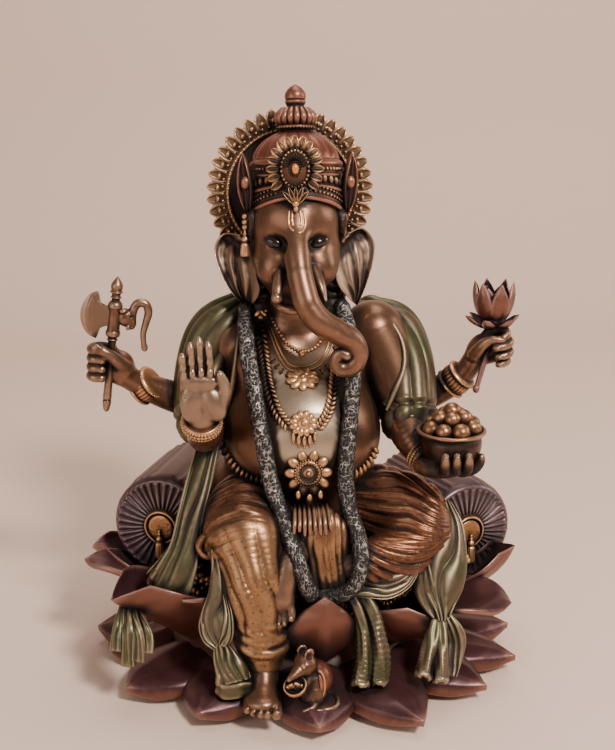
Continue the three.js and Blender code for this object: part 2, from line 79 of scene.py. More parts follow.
def area_light(name, at, aim, size, watts, colour):
    data = bpy.data.lights.new(name, "AREA")
    data.shape = "DISK"
    data.size = size
    data.energy = watts
    data.color = colour
    light = bpy.data.objects.new(name, data)
    light.location = at
    light.rotation_euler = (Vector(at) - Vector(aim)).to_track_quat("Z", "Y").to_euler()
    bpy.context.scene.collection.objects.link(light)


def stage_sweep():
    """A pale floor that curves up into a pale wall well behind the figure."""
    bend, wall_at, half = 0.25, 0.85, 2.4
    profile = [(-2.6, 0.0), (wall_at - bend, 0.0)]
    for i in range(1, 13):
        angle = pi / 2 * i / 12
        profile.append((wall_at - bend + bend * sin(angle), bend - bend * cos(angle)))
    profile.append((wall_at, 2.6))
    verts = [(x, y, z) for y, z in profile for x in (-half, half)]
    faces = [(2 * i, 2 * i + 1, 2 * i + 3, 2 * i + 2) for i in range(len(profile) - 1)]
    mesh = bpy.data.meshes.new("studio_sweep")
    mesh.from_pydata(verts, [], faces)
    mesh.shade_smooth()
    sweep = bpy.data.objects.new("studio_sweep", mesh)
    bpy.context.scene.collection.objects.link(sweep)
    material = bpy.data.materials.new("studio_pale")
    material.use_nodes = True
    shader = material.node_tree.nodes["Principled BSDF"]
    shader.inputs["Base Color"].default_value = (0.78, 0.62, 0.52, 1)
    shader.inputs["Roughness"].default_value = 0.9
    sweep.data.materials.append(material)


def light_stage():
    world = bpy.data.worlds.new("studio")
    bpy.context.scene.world = world
    world.use_nodes = True
    backdrop = world.node_tree.nodes["Background"]
    backdrop.inputs["Color"].default_value = (1.0, 0.83, 0.76, 1)
    backdrop.inputs["Strength"].default_value = 0.22
    aim = (0.0, 0.0, 0.12)
    area_light("key", (0.42, -0.85, 0.95), aim, 0.24, 18.0, (1.0, 0.88, 0.81))
    area_light("fill", (-0.9, -0.8, 0.45), aim, 0.9, 4.5, (1.0, 0.86, 0.80))
    area_light("top", (0.1, 0.25, 1.2), aim, 0.7, 5.5, (1.0, 0.92, 0.86))
    area_light("side", (1.1, 0.1, 0.5), aim, 0.6, 4.0, (1.0, 0.88, 0.80))


# ---- noise and profiles ----
def lattice_noise(points, size, seed=0):
    """Smooth value noise from -1 to 1 with features of about size millimetres."""
    q = np.asarray(points, float) / size + 1000.0
    base = np.floor(q).astype(np.int64)
    f = q - base
    f = f * f * (3 - 2 * f)
    total = np.zeros(len(q))
    for corner in range(8):
        step = np.array([corner & 1, corner >> 1 & 1, corner >> 2 & 1])
        cell = base + step
        code = cell[:, 0] * 73856093 ^ cell[:, 1] * 19349663 ^ cell[:, 2] * 83492791 ^ (seed * 2654435761)
        code = (code ^ (code >> 13)) * 1274126177 & 0x7FFFFFFF
        value = (code ^ (code >> 16)) % 65536 / 32768.0 - 1
        total += value * np.prod(np.where(step, f, 1 - f), axis=1)
    return total


def smooth(a, b, t):
    """A soft step: 0 where t is a, 1 where it is b."""
    t = np.clip((t - a) / (b - a), 0, 1)
    return t * t * (3 - 2 * t)


def bump(t, centre, width):
    return np.exp(-(((t - centre) / width) ** 2))


def pleat(phase):
    """Cloth folds: round crests and sharp valleys, from -1 in a valley to about +0.6 on a crest."""
    return np.abs(np.sin(pi * phase)) ** 0.7 * 1.6 - 1


def spline(points, steps=8):
    """A Catmull-Rom curve through rows of any width, steps samples a span."""
    p = np.asarray(points, float)
    p = np.vstack([2 * p[0] - p[1], p, 2 * p[-1] - p[-2]])
    t = np.arange(steps)[:, None] / steps
    rows = []
    for i in range(1, len(p) - 2):
        a, b, c, d = p[i - 1], p[i], p[i + 1], p[i + 2]
        square, cube = 2 * a - 5 * b + 4 * c - d, 3 * b - a - 3 * c + d
        rows.append(0.5 * (2 * b + (c - a) * t + square * t**2 + cube * t**3))
    return np.vstack(rows + [p[-2:-1]])


# ---- clay: signed distances on a grid, in millimetres ----
def egg(at, radii, turn=(0, 0, 0)):
    """An ellipsoid, turned by degrees about x, y and z."""
    at, radii = np.array(at, float), np.array(radii, float)
    axes = np.array(Euler([radians(a) for a in turn]).to_matrix())
    reach = np.abs(axes) @ radii

    def distance(x, y, z):
        p = (x - at[0], y - at[1], z - at[2])
        near = far = 0
        for i in range(3):
            q = axes[0, i] * p[0] + axes[1, i] * p[1] + axes[2, i] * p[2]
            near = near + (q / radii[i]) ** 2
            far = far + (q / radii[i] ** 2) ** 2
        near = np.sqrt(near)
        return near * (near - 1) / np.maximum(np.sqrt(far), 1e-6)

    return at - reach, at + reach, distance


def limb(points, steps=5):
    """A round limb through [x, y, z, radius] points."""
    p = spline(points, steps)
    r = np.maximum(p[:, 3:], 0.05)

    def distance(x, y, z):
        best = None
        for a, b in zip(p[:-1], p[1:]):
            ab = b[:3] - a[:3]
            size = max(float(ab @ ab), 1e-9)
            px, py, pz = x - a[0], y - a[1], z - a[2]
            h = np.clip((px * ab[0] + py * ab[1] + pz * ab[2]) / size, 0, 1)
            d = np.sqrt((px - ab[0] * h) ** 2 + (py - ab[1] * h) ** 2 + (pz - ab[2] * h) ** 2)
            d = d - (a[3] + (b[3] - a[3]) * h)
            best = d if best is None else np.minimum(best, d)
        return best

    return (p[:, :3] - r).min(0), (p[:, :3] + r).max(0), distance


class Clay:
    """A block of space into which shapes are blended, one after another."""

    FAR = 30.0  # the distance held where no shape is near

    def __init__(self, low, high, voxel, reach=6.0):
        """reach is the widest blend that any later shape will ask for."""
        self.voxel = voxel
        self.reach = reach
        self.low = np.array(low, float) - 3 * voxel
        count = np.ceil((np.array(high, float) - self.low) / voxel).astype(int) + 4
        self.axes = [(self.low[i] + voxel * np.arange(count[i])).astype(np.float32) for i in range(3)]
        self.d = np.full(count, self.FAR, np.float32)

    def window(self, low, high):
        cut = []
        for axis, a, b in zip(self.axes, low, high):
            first = max(int(np.searchsorted(axis, a)) - 1, 0)
            cut.append(slice(first, max(int(np.searchsorted(axis, b)) + 1, first + 1)))
        x, y, z = (axis[c] for axis, c in zip(self.axes, cut))
        return tuple(cut), x[:, None, None], y[None, :, None], z[None, None, :]

    def _merge(self, shape, soft, sign):
        low, high, distance = shape
        margin = 2.5 * self.voxel + 1.5 * max(soft, self.reach)
        cut, x, y, z = self.window(low - margin, high + margin)
        if 0 in self.d[cut].shape:
            return
        new = distance(x, y, z)
        old = sign * self.d[cut]
        if soft > 0:
            h = np.clip(0.5 + 0.5 * (new - old) / soft, 0, 1)
            merged = new + (old - new) * h - soft * h * (1 - h)
        else:
            merged = np.minimum(old, new)
        self.d[cut] = sign * merged

    def add(self, *shapes, soft=0.0):
        for shape in shapes:
            self._merge(shape, soft, 1)

    def carve(self, *shapes, soft=0.0):
        for shape in shapes:
            self._merge(shape, soft, -1)

    def skin(self):
        """The surface as points in millimetres and quads with triangles."""
        grid = openvdb.FloatGrid(self.FAR)
        grid.copyFromArray(np.minimum(self.d, self.FAR))
        points, triangles, quads = grid.convertToPolygons(0.0, 0.0)
        points = np.asarray(points, float) * self.voxel + self.low
        faces = [np.asarray(quads, np.int64)]
        if len(triangles):
            faces.append(np.asarray(triangles, np.int64))
        return points, faces


# ---- pieces: meshes in metres that ride on the frame ----
pieces = []


def triangles_of(faces):
    parts = []
    for block in faces:
        for k in range(1, block.shape[1] - 1):
            parts.append(block[:, [0, k, k + 1]])
    return np.vstack(parts)


def outward(points, faces):
    """The faces, turned over if they look inwards."""
    tri = triangles_of(faces)
    middle = points.mean(0)
    a, b, c = (points[tri[:, k]] - middle for k in range(3))
    if np.einsum("ij,ij->", a, np.cross(b, c)) < 0:
        return [block[:, ::-1] for block in faces]
    return faces


def normals_of(points, faces):
    tri = triangles_of(faces)
    a, b, c = points[tri[:, 0]], points[tri[:, 1]], points[tri[:, 2]]
    flat = np.cross(b - a, c - a)
    total = np.zeros_like(points)
    for k in range(3):
        for axis in range(3):
            total[:, axis] += np.bincount(tri[:, k], flat[:, axis], len(points))
    return total / np.maximum(np.linalg.norm(total, axis=1, keepdims=True), 1e-12)


def moved(points, faces, depth):
    """The points moved out along their normals by depth millimetres each."""
    return points + normals_of(points, faces) * depth[:, None]


def roughened(points, faces, size, seed, depth):
    """The points moved in and out by noise with features of size millimetres, at most depth deep."""
    return moved(points, faces, depth * lattice_noise(points, size, seed))


def edges_of(faces):
    pairs = []
    for block in faces:
        for k in range(block.shape[1]):
            pairs.append(np.sort(block[:, [k, (k + 1) % block.shape[1]]], axis=1))
    return np.unique(np.vstack(pairs), axis=0)


def spread(values, edges, count, rounds):
    """Averages a value a vertex holds with its neighbours, some rounds over."""
    a, b = edges[:, 0], edges[:, 1]
    share = 1.0 / (np.bincount(a, minlength=count) + np.bincount(b, minlength=count) + 1)
    for _ in range(rounds):
        values = (values + np.bincount(a, values[b], count) + np.bincount(b, values[a], count)) * share
    return values


def curvature(points, normals, edges):
    """Mean bend at each vertex in 1/mm: above zero on crests, below zero in creases."""
    a, b = edges[:, 0], edges[:, 1]
    step = points[b] - points[a]
    bend = np.einsum("ij,ij->i", normals[b] - normals[a], step) / np.maximum((step**2).sum(1), 1e-6)
    count = len(points)
    near = np.bincount(a, minlength=count) + np.bincount(b, minlength=count)
    return (np.bincount(a, bend, count) + np.bincount(b, bend, count)) / np.maximum(near, 1)


def piece(name, points, faces, material, slot, replaces=(), tint=None, extra_wash_and_shade=0.0):
    """A smooth-shaded mesh from points in millimetres and blocks of faces, that rides on the root body.

    tint brings in the material's second colour at each vertex; the last argument adds darkness there: dark
    wash on some pieces, painted shade under and between parts on others."""
    points = np.asarray(points, float)
    faces = outward(points, [np.asarray(block, np.int64) for block in faces if len(block)])
    mesh = bpy.data.meshes.new(name)
    loops = np.concatenate([block.ravel() for block in faces]).astype(np.int32)
    sizes = np.concatenate([np.full(len(block), block.shape[1]) for block in faces])
    starts = np.concatenate([[0], np.cumsum(sizes)[:-1]]).astype(np.int32)
    mesh.vertices.add(len(points))
    mesh.vertices.foreach_set("co", (points * MM).astype(np.float32).ravel())
    mesh.loops.add(len(loops))
    mesh.loops.foreach_set("vertex_index", loops)
    mesh.polygons.add(len(starts))
    mesh.polygons.foreach_set("loop_start", starts)
    mesh.update(calc_edges=True)
    mesh.validate()
    mesh.shade_smooth()
    obj = bpy.data.objects.new(name, mesh)
    bpy.context.scene.collection.objects.link(obj)
    mesh.materials.append(material)
    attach(obj, "root")
    if replaces:
        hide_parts(*replaces)
    edges = edges_of(faces)
    normals = normals_of(points, faces)
    bend = curvature(points, normals, edges)
    fine = spread(bend, edges, len(points), 2)
    broad = spread(fine, edges, len(points), 8)
    pieces.append((obj, points, normals, fine, broad, edges, extra_wash_and_shade))
    if tint is not None:
        store(mesh, "tint", tint)
    return obj


def store(mesh, name, values):
    attribute = mesh.attributes.get(name) or mesh.attributes.new(name, "FLOAT", "POINT")
    attribute.data.foreach_set("value", np.asarray(values, np.float32))


def box_blur(grid, reach):
    """The mean of each cell's neighbours, reach cells to either side along every axis."""
    for axis in range(3):
        padded = np.concatenate([np.zeros_like(grid.take([0], axis)), np.cumsum(grid, axis)], axis)
        count = grid.shape[axis]
        high = np.minimum(np.arange(count) + reach + 1, count)
        low = np.maximum(np.arange(count) - reach, 0)
        grid = (padded.take(high, axis) - padded.take(low, axis)) / (2 * reach + 1)
    return grid


def find_wash_and_shade():
    """Finds how deep each vertex sits among the others: dark wash in the hollows plus painted shade where
    parts crowd in, and buffed crests.
    """
    cell = 1.5
    low = np.min([p.min(0) for _, p, *_ in pieces], axis=0) - 12
    high = np.max([p.max(0) for _, p, *_ in pieces], axis=0) + 12
    shape = np.ceil((high - low) / cell).astype(int) + 1
    skin = np.zeros(shape, np.float32)
    for _, points, *_ in pieces:
        index = ((points - low) / cell).astype(int)
        skin[index[:, 0], index[:, 1], index[:, 2]] = 1
    near = box_blur(box_blur(skin, 1), 1)
    wide = box_blur(box_blur(skin, 3), 3)
    for obj, points, normals, fine, broad, edges, extra_wash_and_shade in pieces:
        index = np.clip(((points + normals * 2.2 - low) / cell).astype(int), 0, shape - 1)
        close = near[index[:, 0], index[:, 1], index[:, 2]]
        index = np.clip(((points + normals * 6.0 - low) / cell).astype(int), 0, shape - 1)
        around = wide[index[:, 0], index[:, 1], index[:, 2]]
        # depth is how enclosed each spot is by nearby surfaces: painted shade, darkened as ambient occlusion
        # would
        depth = smooth(0.20, 0.62, close) * 0.6 + smooth(0.10, 0.34, around) * 0.6
        depth = spread(depth, edges, len(points), 3)
        # the dark mix is real wash in concave hollows plus painted shade from depth and the extra darkening;
        # the painted shade also dims the buffed crests
        wash_and_shade = np.clip(-fine * 1.1, 0, 1) * 0.6 + np.clip(-broad * 3.0, 0, 1) * 0.5 + depth + extra_wash_and_shade
        crest = np.clip(fine * 0.9, 0, 1) * 0.28 + np.clip(broad * 1.8, 0, 1) * 0.65 - depth * 0.4 - extra_wash_and_shade
        store(obj.data, "wash_and_shade", np.clip(wash_and_shade, 0, 1))
        store(obj.data, "crest", np.clip(crest, 0, 1))


# ---- materials ----
def bronze(
    name, dark, base, buffed, metal=0.8, rough=(0.34, 0.55), speckle=0.0, grain=0.25, buff=1.0, second=None,
    vary=None,
):
    """Cold-cast bronze: a coloured lacquer with dark wash and painted shade in its creases and buffed metal
    on its crests.
    """
    material = bpy.data.materials.new(name)
    material.use_nodes = True
    tree = material.node_tree
    link = tree.links.new
    shader = tree.nodes["Principled BSDF"]

    def node(kind, **values):
        made = tree.nodes.new(kind)
        for key, value in values.items():
            if key.startswith("in_"):
                made.inputs[int(key[3:])].default_value = value
            else:
                setattr(made, key, value)
        return made

    def noise(scale, detail, seed):
        found = node("ShaderNodeTexNoise", noise_dimensions="4D")
        found.inputs["W"].default_value = seed
        found.inputs["Scale"].default_value = scale
        found.inputs["Detail"].default_value = detail
        link(where.outputs["Object"], found.inputs["Vector"])
        return found.outputs["Fac"]

    def sums(kind, a, b, clamp=False):
        found = node("ShaderNodeMath", operation=kind, use_clamp=clamp)
        for socket, value in zip(found.inputs, (a, b)):
            if isinstance(value, (int, float)):
                socket.default_value = value
            else:
                link(value, socket)
        return found.outputs[0]

    def mixed(factor, a, b):
        found = node("ShaderNodeMix", data_type="RGBA")
        link(factor, found.inputs["Factor"])
        for socket, value in ((found.inputs[6], a), (found.inputs[7], b)):
            if isinstance(value, tuple):
                socket.default_value = (*value, 1)
            else:
                link(value, socket)
        return found.outputs[2]

    def ramp(value, low, high):
        found = node("ShaderNodeMapRange", interpolation_type="SMOOTHSTEP")
        found.inputs["From Min"].default_value = low
        found.inputs["From Max"].default_value = high
        link(value, found.inputs["Value"])
        return found.outputs["Result"]

    where = node("ShaderNodeTexCoord")
    wash_and_shade = node("ShaderNodeAttribute", attribute_name="wash_and_shade").outputs["Fac"]
    crest = node("ShaderNodeAttribute", attribute_name="crest").outputs["Fac"]
    patches = noise(55, 3, 1.7)
    fine = noise(420, 4, 4.1)
    worn = ramp(sums("ADD", crest, sums("MULTIPLY", sums("SUBTRACT", fine, 0.5), 0.5)), 0.10, 0.62)
    worn = sums("MULTIPLY", worn, buff)
    # deep: real dark wash in hollows plus painted shade where parts crowd in, read from the attribute
    deep = ramp(sums("ADD", wash_and_shade, sums("MULTIPLY", sums("SUBTRACT", patches, 0.5), 0.35)), 0.16, 0.85)
    tinted = mixed(ramp(patches, 0.38, 0.62), base, vary or tuple(0.72 * c for c in base))
    if second:
        tinted = mixed(node("ShaderNodeAttribute", attribute_name="tint").outputs["Fac"], tinted, second)
    colour = mixed(worn, tinted, buffed)
    colour = mixed(deep, colour, dark)
    if speckle:
        spots = ramp(noise(900, 2, 9.3), 0.60, 0.66)
        colour = mixed(sums("MULTIPLY", spots, speckle), colour, dark)
    link(colour, shader.inputs["Base Color"])
    roughness = sums("ADD", sums("MULTIPLY", fine, 0.16), rough[0] - 0.08)
    roughness = sums("ADD", roughness, sums("MULTIPLY", deep, rough[1] - rough[0]))
    link(roughness, shader.inputs["Roughness"])
    metallic = sums("SUBTRACT", metal, sums("MULTIPLY", deep, metal * 0.5), clamp=True)
    link(metallic, shader.inputs["Metallic"])
    relief = node("ShaderNodeBump")
    relief.inputs["Strength"].default_value = grain
    relief.inputs["Distance"].default_value = 0.00012
    link(sums("ADD", noise(1500, 2, 2.2), fine), relief.inputs["Height"])
    link(relief.outputs["Normal"], shader.inputs["Normal"])
    return material


WARM_DARK = (0.019, 0.010, 0.008)  # the dark wash and painted shade in the creases of the warm colours
SKIN = bronze("skin_bronze", WARM_DARK, (0.205, 0.108, 0.066), (0.48, 0.34, 0.23), buff=0.5,
              second=(0.44, 0.35, 0.25))
GOLD = bronze("gold_trim", WARM_DARK, (0.23, 0.092, 0.046), (0.62, 0.36, 0.18), second=(0.58, 0.33, 0.14))
COPPER = bronze("dhoti_copper", WARM_DARK, (0.200, 0.082, 0.042), (0.50, 0.29, 0.15), speckle=0.6,
                vary=(0.13, 0.058, 0.034), second=(0.42, 0.25, 0.12))
PETAL = bronze("petal_bronze", (0.020, 0.012, 0.011), (0.120, 0.045, 0.036), (0.38, 0.20, 0.13), metal=0.6,
               rough=(0.36, 0.5))
GREEN = bronze("shawl_green", (0.016, 0.013, 0.009), (0.078, 0.082, 0.036), (0.44, 0.35, 0.22), metal=0.65,
               rough=(0.38, 0.55), buff=0.5, vary=(0.125, 0.090, 0.056))
VIOLET = bronze("bolster_violet", (0.018, 0.012, 0.013), (0.080, 0.052, 0.060), (0.27, 0.20, 0.22), metal=0.5,
                buff=0.6, vary=(0.095, 0.056, 0.058))
RED = bronze("crown_red", (0.022, 0.010, 0.008), (0.215, 0.070, 0.042), (0.33, 0.15, 0.10), metal=0.6)
GOLD_DARK = bronze("halo_gold", (0.016, 0.010, 0.008), (0.085, 0.045, 0.030), (0.60, 0.36, 0.17),
                   second=(0.36, 0.25, 0.16))
AMBER = bronze("amber_stone", (0.05, 0.012, 0.004), (0.50, 0.16, 0.03), (0.60, 0.22, 0.06), metal=0.1,
               rough=(0.22, 0.4), grain=0.05)
EYE = bronze("eye_gloss", (0.010, 0.006, 0.005), (0.014, 0.008, 0.006), (0.02, 0.012, 0.01), metal=0.0,
             rough=(0.12, 0.2), grain=0.0)
PLUM = bronze("petal_plum", (0.020, 0.011, 0.012), (0.088, 0.036, 0.040), (0.26, 0.135, 0.11), metal=0.55,
              rough=(0.36, 0.5), second=(0.160, 0.064, 0.042))
DARK = bronze("dark_bronze", (0.012, 0.008, 0.006), (0.075, 0.038, 0.028), (0.34, 0.19, 0.12), metal=0.75)
SILVER = bronze(
    "garland_dark", (0.010, 0.009, 0.009), (0.030, 0.027, 0.027), (0.22, 0.20, 0.19), metal=0.5, buff=0.5,
    second=(0.42, 0.39, 0.36),
)


# ---- mesh building blocks ----
class Heap:
    """Loose closed meshes gathered into one piece."""

    def __init__(self):
        self.points, self.blocks, self.tints, self.count = [], {}, [], 0

    def add(self, points, faces, tint=0.0):
        for block in outward(points, faces):
            self.blocks.setdefault(block.shape[1], []).append(block + self.count)
        self.points.append(points)
        self.tints.append(np.broadcast_to(tint, len(points)))
        self.count += len(points)
        return self

    def piece(self, name, material, slot, replaces=()):
        faces = [np.vstack(blocks) for blocks in self.blocks.values()]
        piece(name, np.vstack(self.points), faces, material, slot, replaces, np.concatenate(self.tints))


def grid_faces(rows, columns, wrap):
    """Quads over a grid of points stored row by row; wrap joins the last column to the first."""
    i, k = np.meshgrid(np.arange(rows - 1), np.arange(columns if wrap else columns - 1), indexing="ij")
    n = (k + 1) % columns
    return np.stack(
        [i * columns + k, i * columns + n, (i + 1) * columns + n, (i + 1) * columns + k], -1,
    ).reshape(-1, 4)


def capped(rings):
    """A closed skin over an array of rings [row, column, xyz], with a fan at each end."""
    rows, columns = rings.shape[:2]
    points = np.vstack([rings.reshape(-1, 3), rings[0].mean(0)[None], rings[-1].mean(0)[None]])
    k = np.arange(columns)
    n = (k + 1) % columns
    first, last = np.full(columns, rows * columns), np.full(columns, rows * columns + 1)
    low = np.stack([first, n, k], 1)
    high = np.stack([last, (rows - 1) * columns + k, (rows - 1) * columns + n], 1)
    return points, [grid_faces(rows, columns, True), np.vstack([low, high])]


def frames_of(path, up):
    """Unit tangent, up and side vectors along a path, its up as near to the given one as it can be."""
    tangent = np.gradient(path, axis=0)
    tangent /= np.maximum(np.linalg.norm(tangent, axis=1, keepdims=True), 1e-9)
    up = np.broadcast_to(np.array(up, float), tangent.shape)
    out = up - tangent * (up * tangent).sum(1, keepdims=True)
    out /= np.maximum(np.linalg.norm(out, axis=1, keepdims=True), 1e-9)
    return tangent, out, np.cross(tangent, out)


def sweep(points, section=None, around=24, steps=8, up=(0, -1, 0), round_ends=True):
    """A closed tube along [x, y, z, radius] points.

    section(t, angle, radius) gives how far the skin is from the line, sideways and along up, for rows of
    t and angle."""
    line = spline(points, steps)
    if round_ends:
        ends = []
        for row, toward in ((line[0], line[1]), (line[-1], line[-2])):
            out = (row[:3] - toward[:3]) / max(np.linalg.norm(row[:3] - toward[:3]), 1e-9)
            cap = [np.append(
                row[:3] + out * row[3] * sin(a), row[3] * cos(a),
            ) for a in np.linspace(0.3, 1.5, 5)]
            ends.append(np.array(cap))
        line = np.vstack([ends[0][::-1], line, ends[1]])
    _, out, side = frames_of(line[:, :3], up)
    t = np.linspace(0, 1, len(line))[:, None]
    angle = np.linspace(0, 2 * pi, around, endpoint=False)[None, :]
    radius = line[:, 3:4]
    if section is None:
        a, b = radius * np.cos(angle), radius * np.sin(angle)
    else:
        a, b = section(t, angle, radius)
    rings = line[:, None, :3] + side[:, None] * a[..., None] + out[:, None] * b[..., None]
    return capped(rings)


def lathe(profile, around=48, shape=None):
    """A turned skin about +Z from [radius, height] rows; shape(radius, height, angle) may move them."""
    profile = np.array(profile, float)
    angle = np.linspace(0, 2 * pi, around, endpoint=False)[None, :]
    radius, height = profile[:, :1] + 0 * angle, profile[:, 1:] + 0 * angle
    if shape:
        radius, height = shape(radius, height, angle)
    rings = np.stack([radius * np.sin(angle), -radius * np.cos(angle), height], -1)
    return capped(rings)


def ball_skin(around=10, rows=7):
    lat = np.linspace(-pi / 2, pi / 2, rows)[1:-1]
    lon = np.linspace(0, 2 * pi, around, endpoint=False)
    rings = np.stack([
        np.cos(lat)[:, None] * np.cos(lon)[None],
        np.cos(lat)[:, None] * np.sin(lon)[None],
        np.sin(lat)[:, None] + 0 * lon[None],
    ], -1)
    points, faces = capped(rings)
    points[-2:] = [[0, 0, -1], [0, 0, 1]]
    return points, faces


def egg_skin(radii, around=24, rows=14):
    points, faces = ball_skin(around, rows)
    return points * radii, faces


BEAD = ball_skin()


def beads(heap, centres, radii, tint=0.0):
    """Round beads; radii is one number, one a bead, or three for oval beads."""
    centres = np.atleast_2d(centres)
    radii = np.broadcast_to(np.array(radii, float), centres.shape) if np.ndim(radii) < 2 else radii
    for at, size in zip(centres, radii):
        heap.add(BEAD[0] * size + at, BEAD[1], tint)


def turned(points, axis_z, axis_y):
    """Turns points so that their +Z runs along axis_z and their +Y is as near to axis_y as it can be."""
    z = np.array(axis_z, float) / np.linalg.norm(axis_z)
    y = np.array(axis_y, float) - z * np.dot(axis_y, z)
    y /= np.linalg.norm(y)
    return points @ np.stack([np.cross(y, z), y, z])


def leaf(length, width, height, rim=0.25, rows=14, columns=11, belly=0.42, point=0.8, vein=0.55):
    """A leaf in XZ, root at the origin and tip up +Z, raised towards -Y, with a lip round a hollow."""
    s = np.linspace(0, 1, rows)[:, None]
    v = np.linspace(-1, 1, columns)[None, :]
    swell = np.where(s < belly, np.sin(np.clip(s / belly, 0, 1) * pi / 2) ** 0.7,
                     np.cos(np.clip((s - belly) / (1 - belly), 0, 1) * pi / 2) ** point)
    half = width / 2 * np.maximum(swell, 0.06)
    lip = bump(np.abs(v), 0.78, 0.22) * np.minimum(1, swell * 1.4)
    spine = bump(v, 0.0, 0.16)
    raised = height * (rim + (1 - rim) * np.maximum(lip, vein * spine)) * (1 - 0.35 * s**3)
    front = np.stack([half * v, -raised * np.minimum(1, swell * 2 + 0.15) + 0 * v, length * s + 0 * v], -1)
    back = front[:, ::-1] * [1, 0, 1]
    back[..., 1] = height * 0.15
    return capped(np.concatenate([front, back], 1))


# ---- torso and head ----
def torso():
    clay = Clay((-50, -48, 42), (54, 44, 178), 0.7, 14)
    clay.add(egg((1, -10, 108), (36, 34, 33)))
    clay.add(egg((0, 2, 138), (31, 22, 25)), soft=14)
    clay.add(egg((0, 6, 72), (42, 34, 30)), soft=10)
    clay.add(egg((-32, 6, 148), (13, 13, 13)), egg((34, 4, 148), (14, 13, 13)), soft=9)
    clay.add(limb([[-1, -2, 150, 15], [-1, -5, 166, 13], [-1, -8, 176, 12]]), soft=8)
    clay.add(egg((-14, -15, 141), (14, 9, 11)), egg((15, -15, 141), (14, 9, 11)), soft=7)
    points, faces = clay.skin()
    x, y, z = points.T
    # painted highlight: the front of the chest and belly takes the lighter second colour as a sheen
    front = smooth(0.0, -20.0, y) * smooth(22, 14, np.abs(x - 1)) * smooth(96, 104, z) * smooth(152, 141, z)
    return piece("torso_body", points, faces, SKIN, "skin_bronze", ["torso"], front)


EYES = [(-11.2, 195.6), (7.3, 195.4)]
TRUNK = [
    [-2, -20, 208, 8], [-2, -27, 201, 7.0], [-2.4, -34.4, 194, 5.8], [-1.6, -41, 184, 5.2],
    [0.6, -45.0, 174, 5.3], [5.6, -46, 166.4, 5.6], [13, -45, 161.4, 5.3], [19.4, -44, 157.4, 4.9],
    [22.4, -43, 151.6, 4.3], [20.4, -43, 146.2, 3.9], [15.6, -43, 145.0, 3.5], [12.9, -43.3, 148.4, 3.0],
    [14.6, -44.3, 151.9, 2.5], [17.4, -45.2, 151.2, 2.2],
]


def head():
    clay = Clay((-27, -54, 140), (30, 12, 220), 0.45)
    clay.add(egg((-1.5, -11, 197), (19, 20, 22)))
    clay.add(egg((-1.5, -15.0, 205), (17.0, 16.6, 13.4)), egg((-1.2, -14, 187), (18.0, 16, 15)), soft=6)
    for x in (-10.8, 7.6):
        clay.add(egg((x, -23.2, 184.4), (8.0, 8.4, 8.4)), soft=4)
    clay.add(egg((-3, -20, 174), (9.5, 9, 8)), soft=5)
    clay.add(limb([[-2, -20, 208, 7], [-2, -26.5, 201, 6.2], *TRUNK[2:5]], 10), soft=5)
    clay.add(limb(TRUNK[3:], 10), soft=0.8)
    for (x, z), side in zip(EYES, (-1, 1)):
        clay.carve(
            egg((x + side * 0.4, -33.0, z + 0.6), (6.4, 5.6, 3.6), (0, -side * 16, side * 16)), soft=2.4,
        )
        inner = [
            [x - side * 4.8, -31.6, z - 2.6, 0.3], [x - side * 4.9, -31.4, z - 0.6, 0.5],
            [x - side * 3.2, -31.0, z + 1.6, 0.4],
        ]
        clay.add(limb(inner), soft=0.5)
    clay.add(
        limb([[-9.2, -31, 183, 2.7], [-10.4, -36.5, 178.4, 2.4], [-11.0, -38.6, 175.4, 2.0]], 8), soft=0.9,
    )
    clay.add(limb([[4.6, -31, 184, 3.2], [6.8, -36.5, 179, 2.6], [8.8, -40, 173.6, 1.0]], 8), soft=0.9)
    clay.add(egg((-11.2, -39.4, 174.6), (2.3, 2.3, 2.3)))
    clay.add(limb([
        [-11.6, -29, 171.2, 1.6], [-8.2, -33.4, 169.4, 2.1], [-3, -35, 168.6, 2.2], [3, -31.5, 170, 1.6],
    ]), soft=1.2)
    points, faces = clay.skin()
    points = roughened(points, faces, 5.0, 3, 0.08)
    x, y, z = points.T
    extra_wash_and_shade = 0.0
    # painted dark round each eye: partly the idol's own dark paint, partly painted shade in the socket under
    # the brow
    for (ex, ez), side in zip(EYES, (-1, 1)):
        across, rise = x - ex - side * 0.4, z - ez - 0.9 - side * 0.28 * (x - ex)
        extra_wash_and_shade = extra_wash_and_shade + 0.75 * np.exp(-((across / 6.2) ** 2) - (rise / 2.9) ** 2) * smooth(-20, -26, y)
    # painted shade under the jaw, and behind the face where the ears and crown overhang the head
    extra_wash_and_shade = extra_wash_and_shade + 0.7 * smooth(176, 170, z) * smooth(-36, -30, y) + 0.5 * smooth(-24, -18, y)
    return piece("head_and_trunk", points, faces, SKIN, "skin_bronze", ["head_with_trunk"], None, extra_wash_and_shade)


def eyes(head_tree):
    """Dark glossy almonds, their outer corners raised."""
    heap = Heap()
    for (x, z), side in zip(EYES, (-1, 1)):
        at, _ = lay_on(head_tree, [(x + side * 0.2, z + 0.3)], 0)
        points, faces = egg_skin((4.7, 3.0, 2.7), 32, 18)
        lean = radians(side * 17)
        points = points @ np.array([[cos(lean), 0, sin(lean)], [0, 1, 0], [-sin(lean), 0, cos(lean)]])
        back = radians(side * 22)
        points = points @ np.array([[cos(back), sin(back), 0], [-sin(back), cos(back), 0], [0, 0, 1]])
        heap.add(points + at[0] + [0, 0.9, 0], faces)
    heap.piece("eyes", EYE, "skin_bronze")


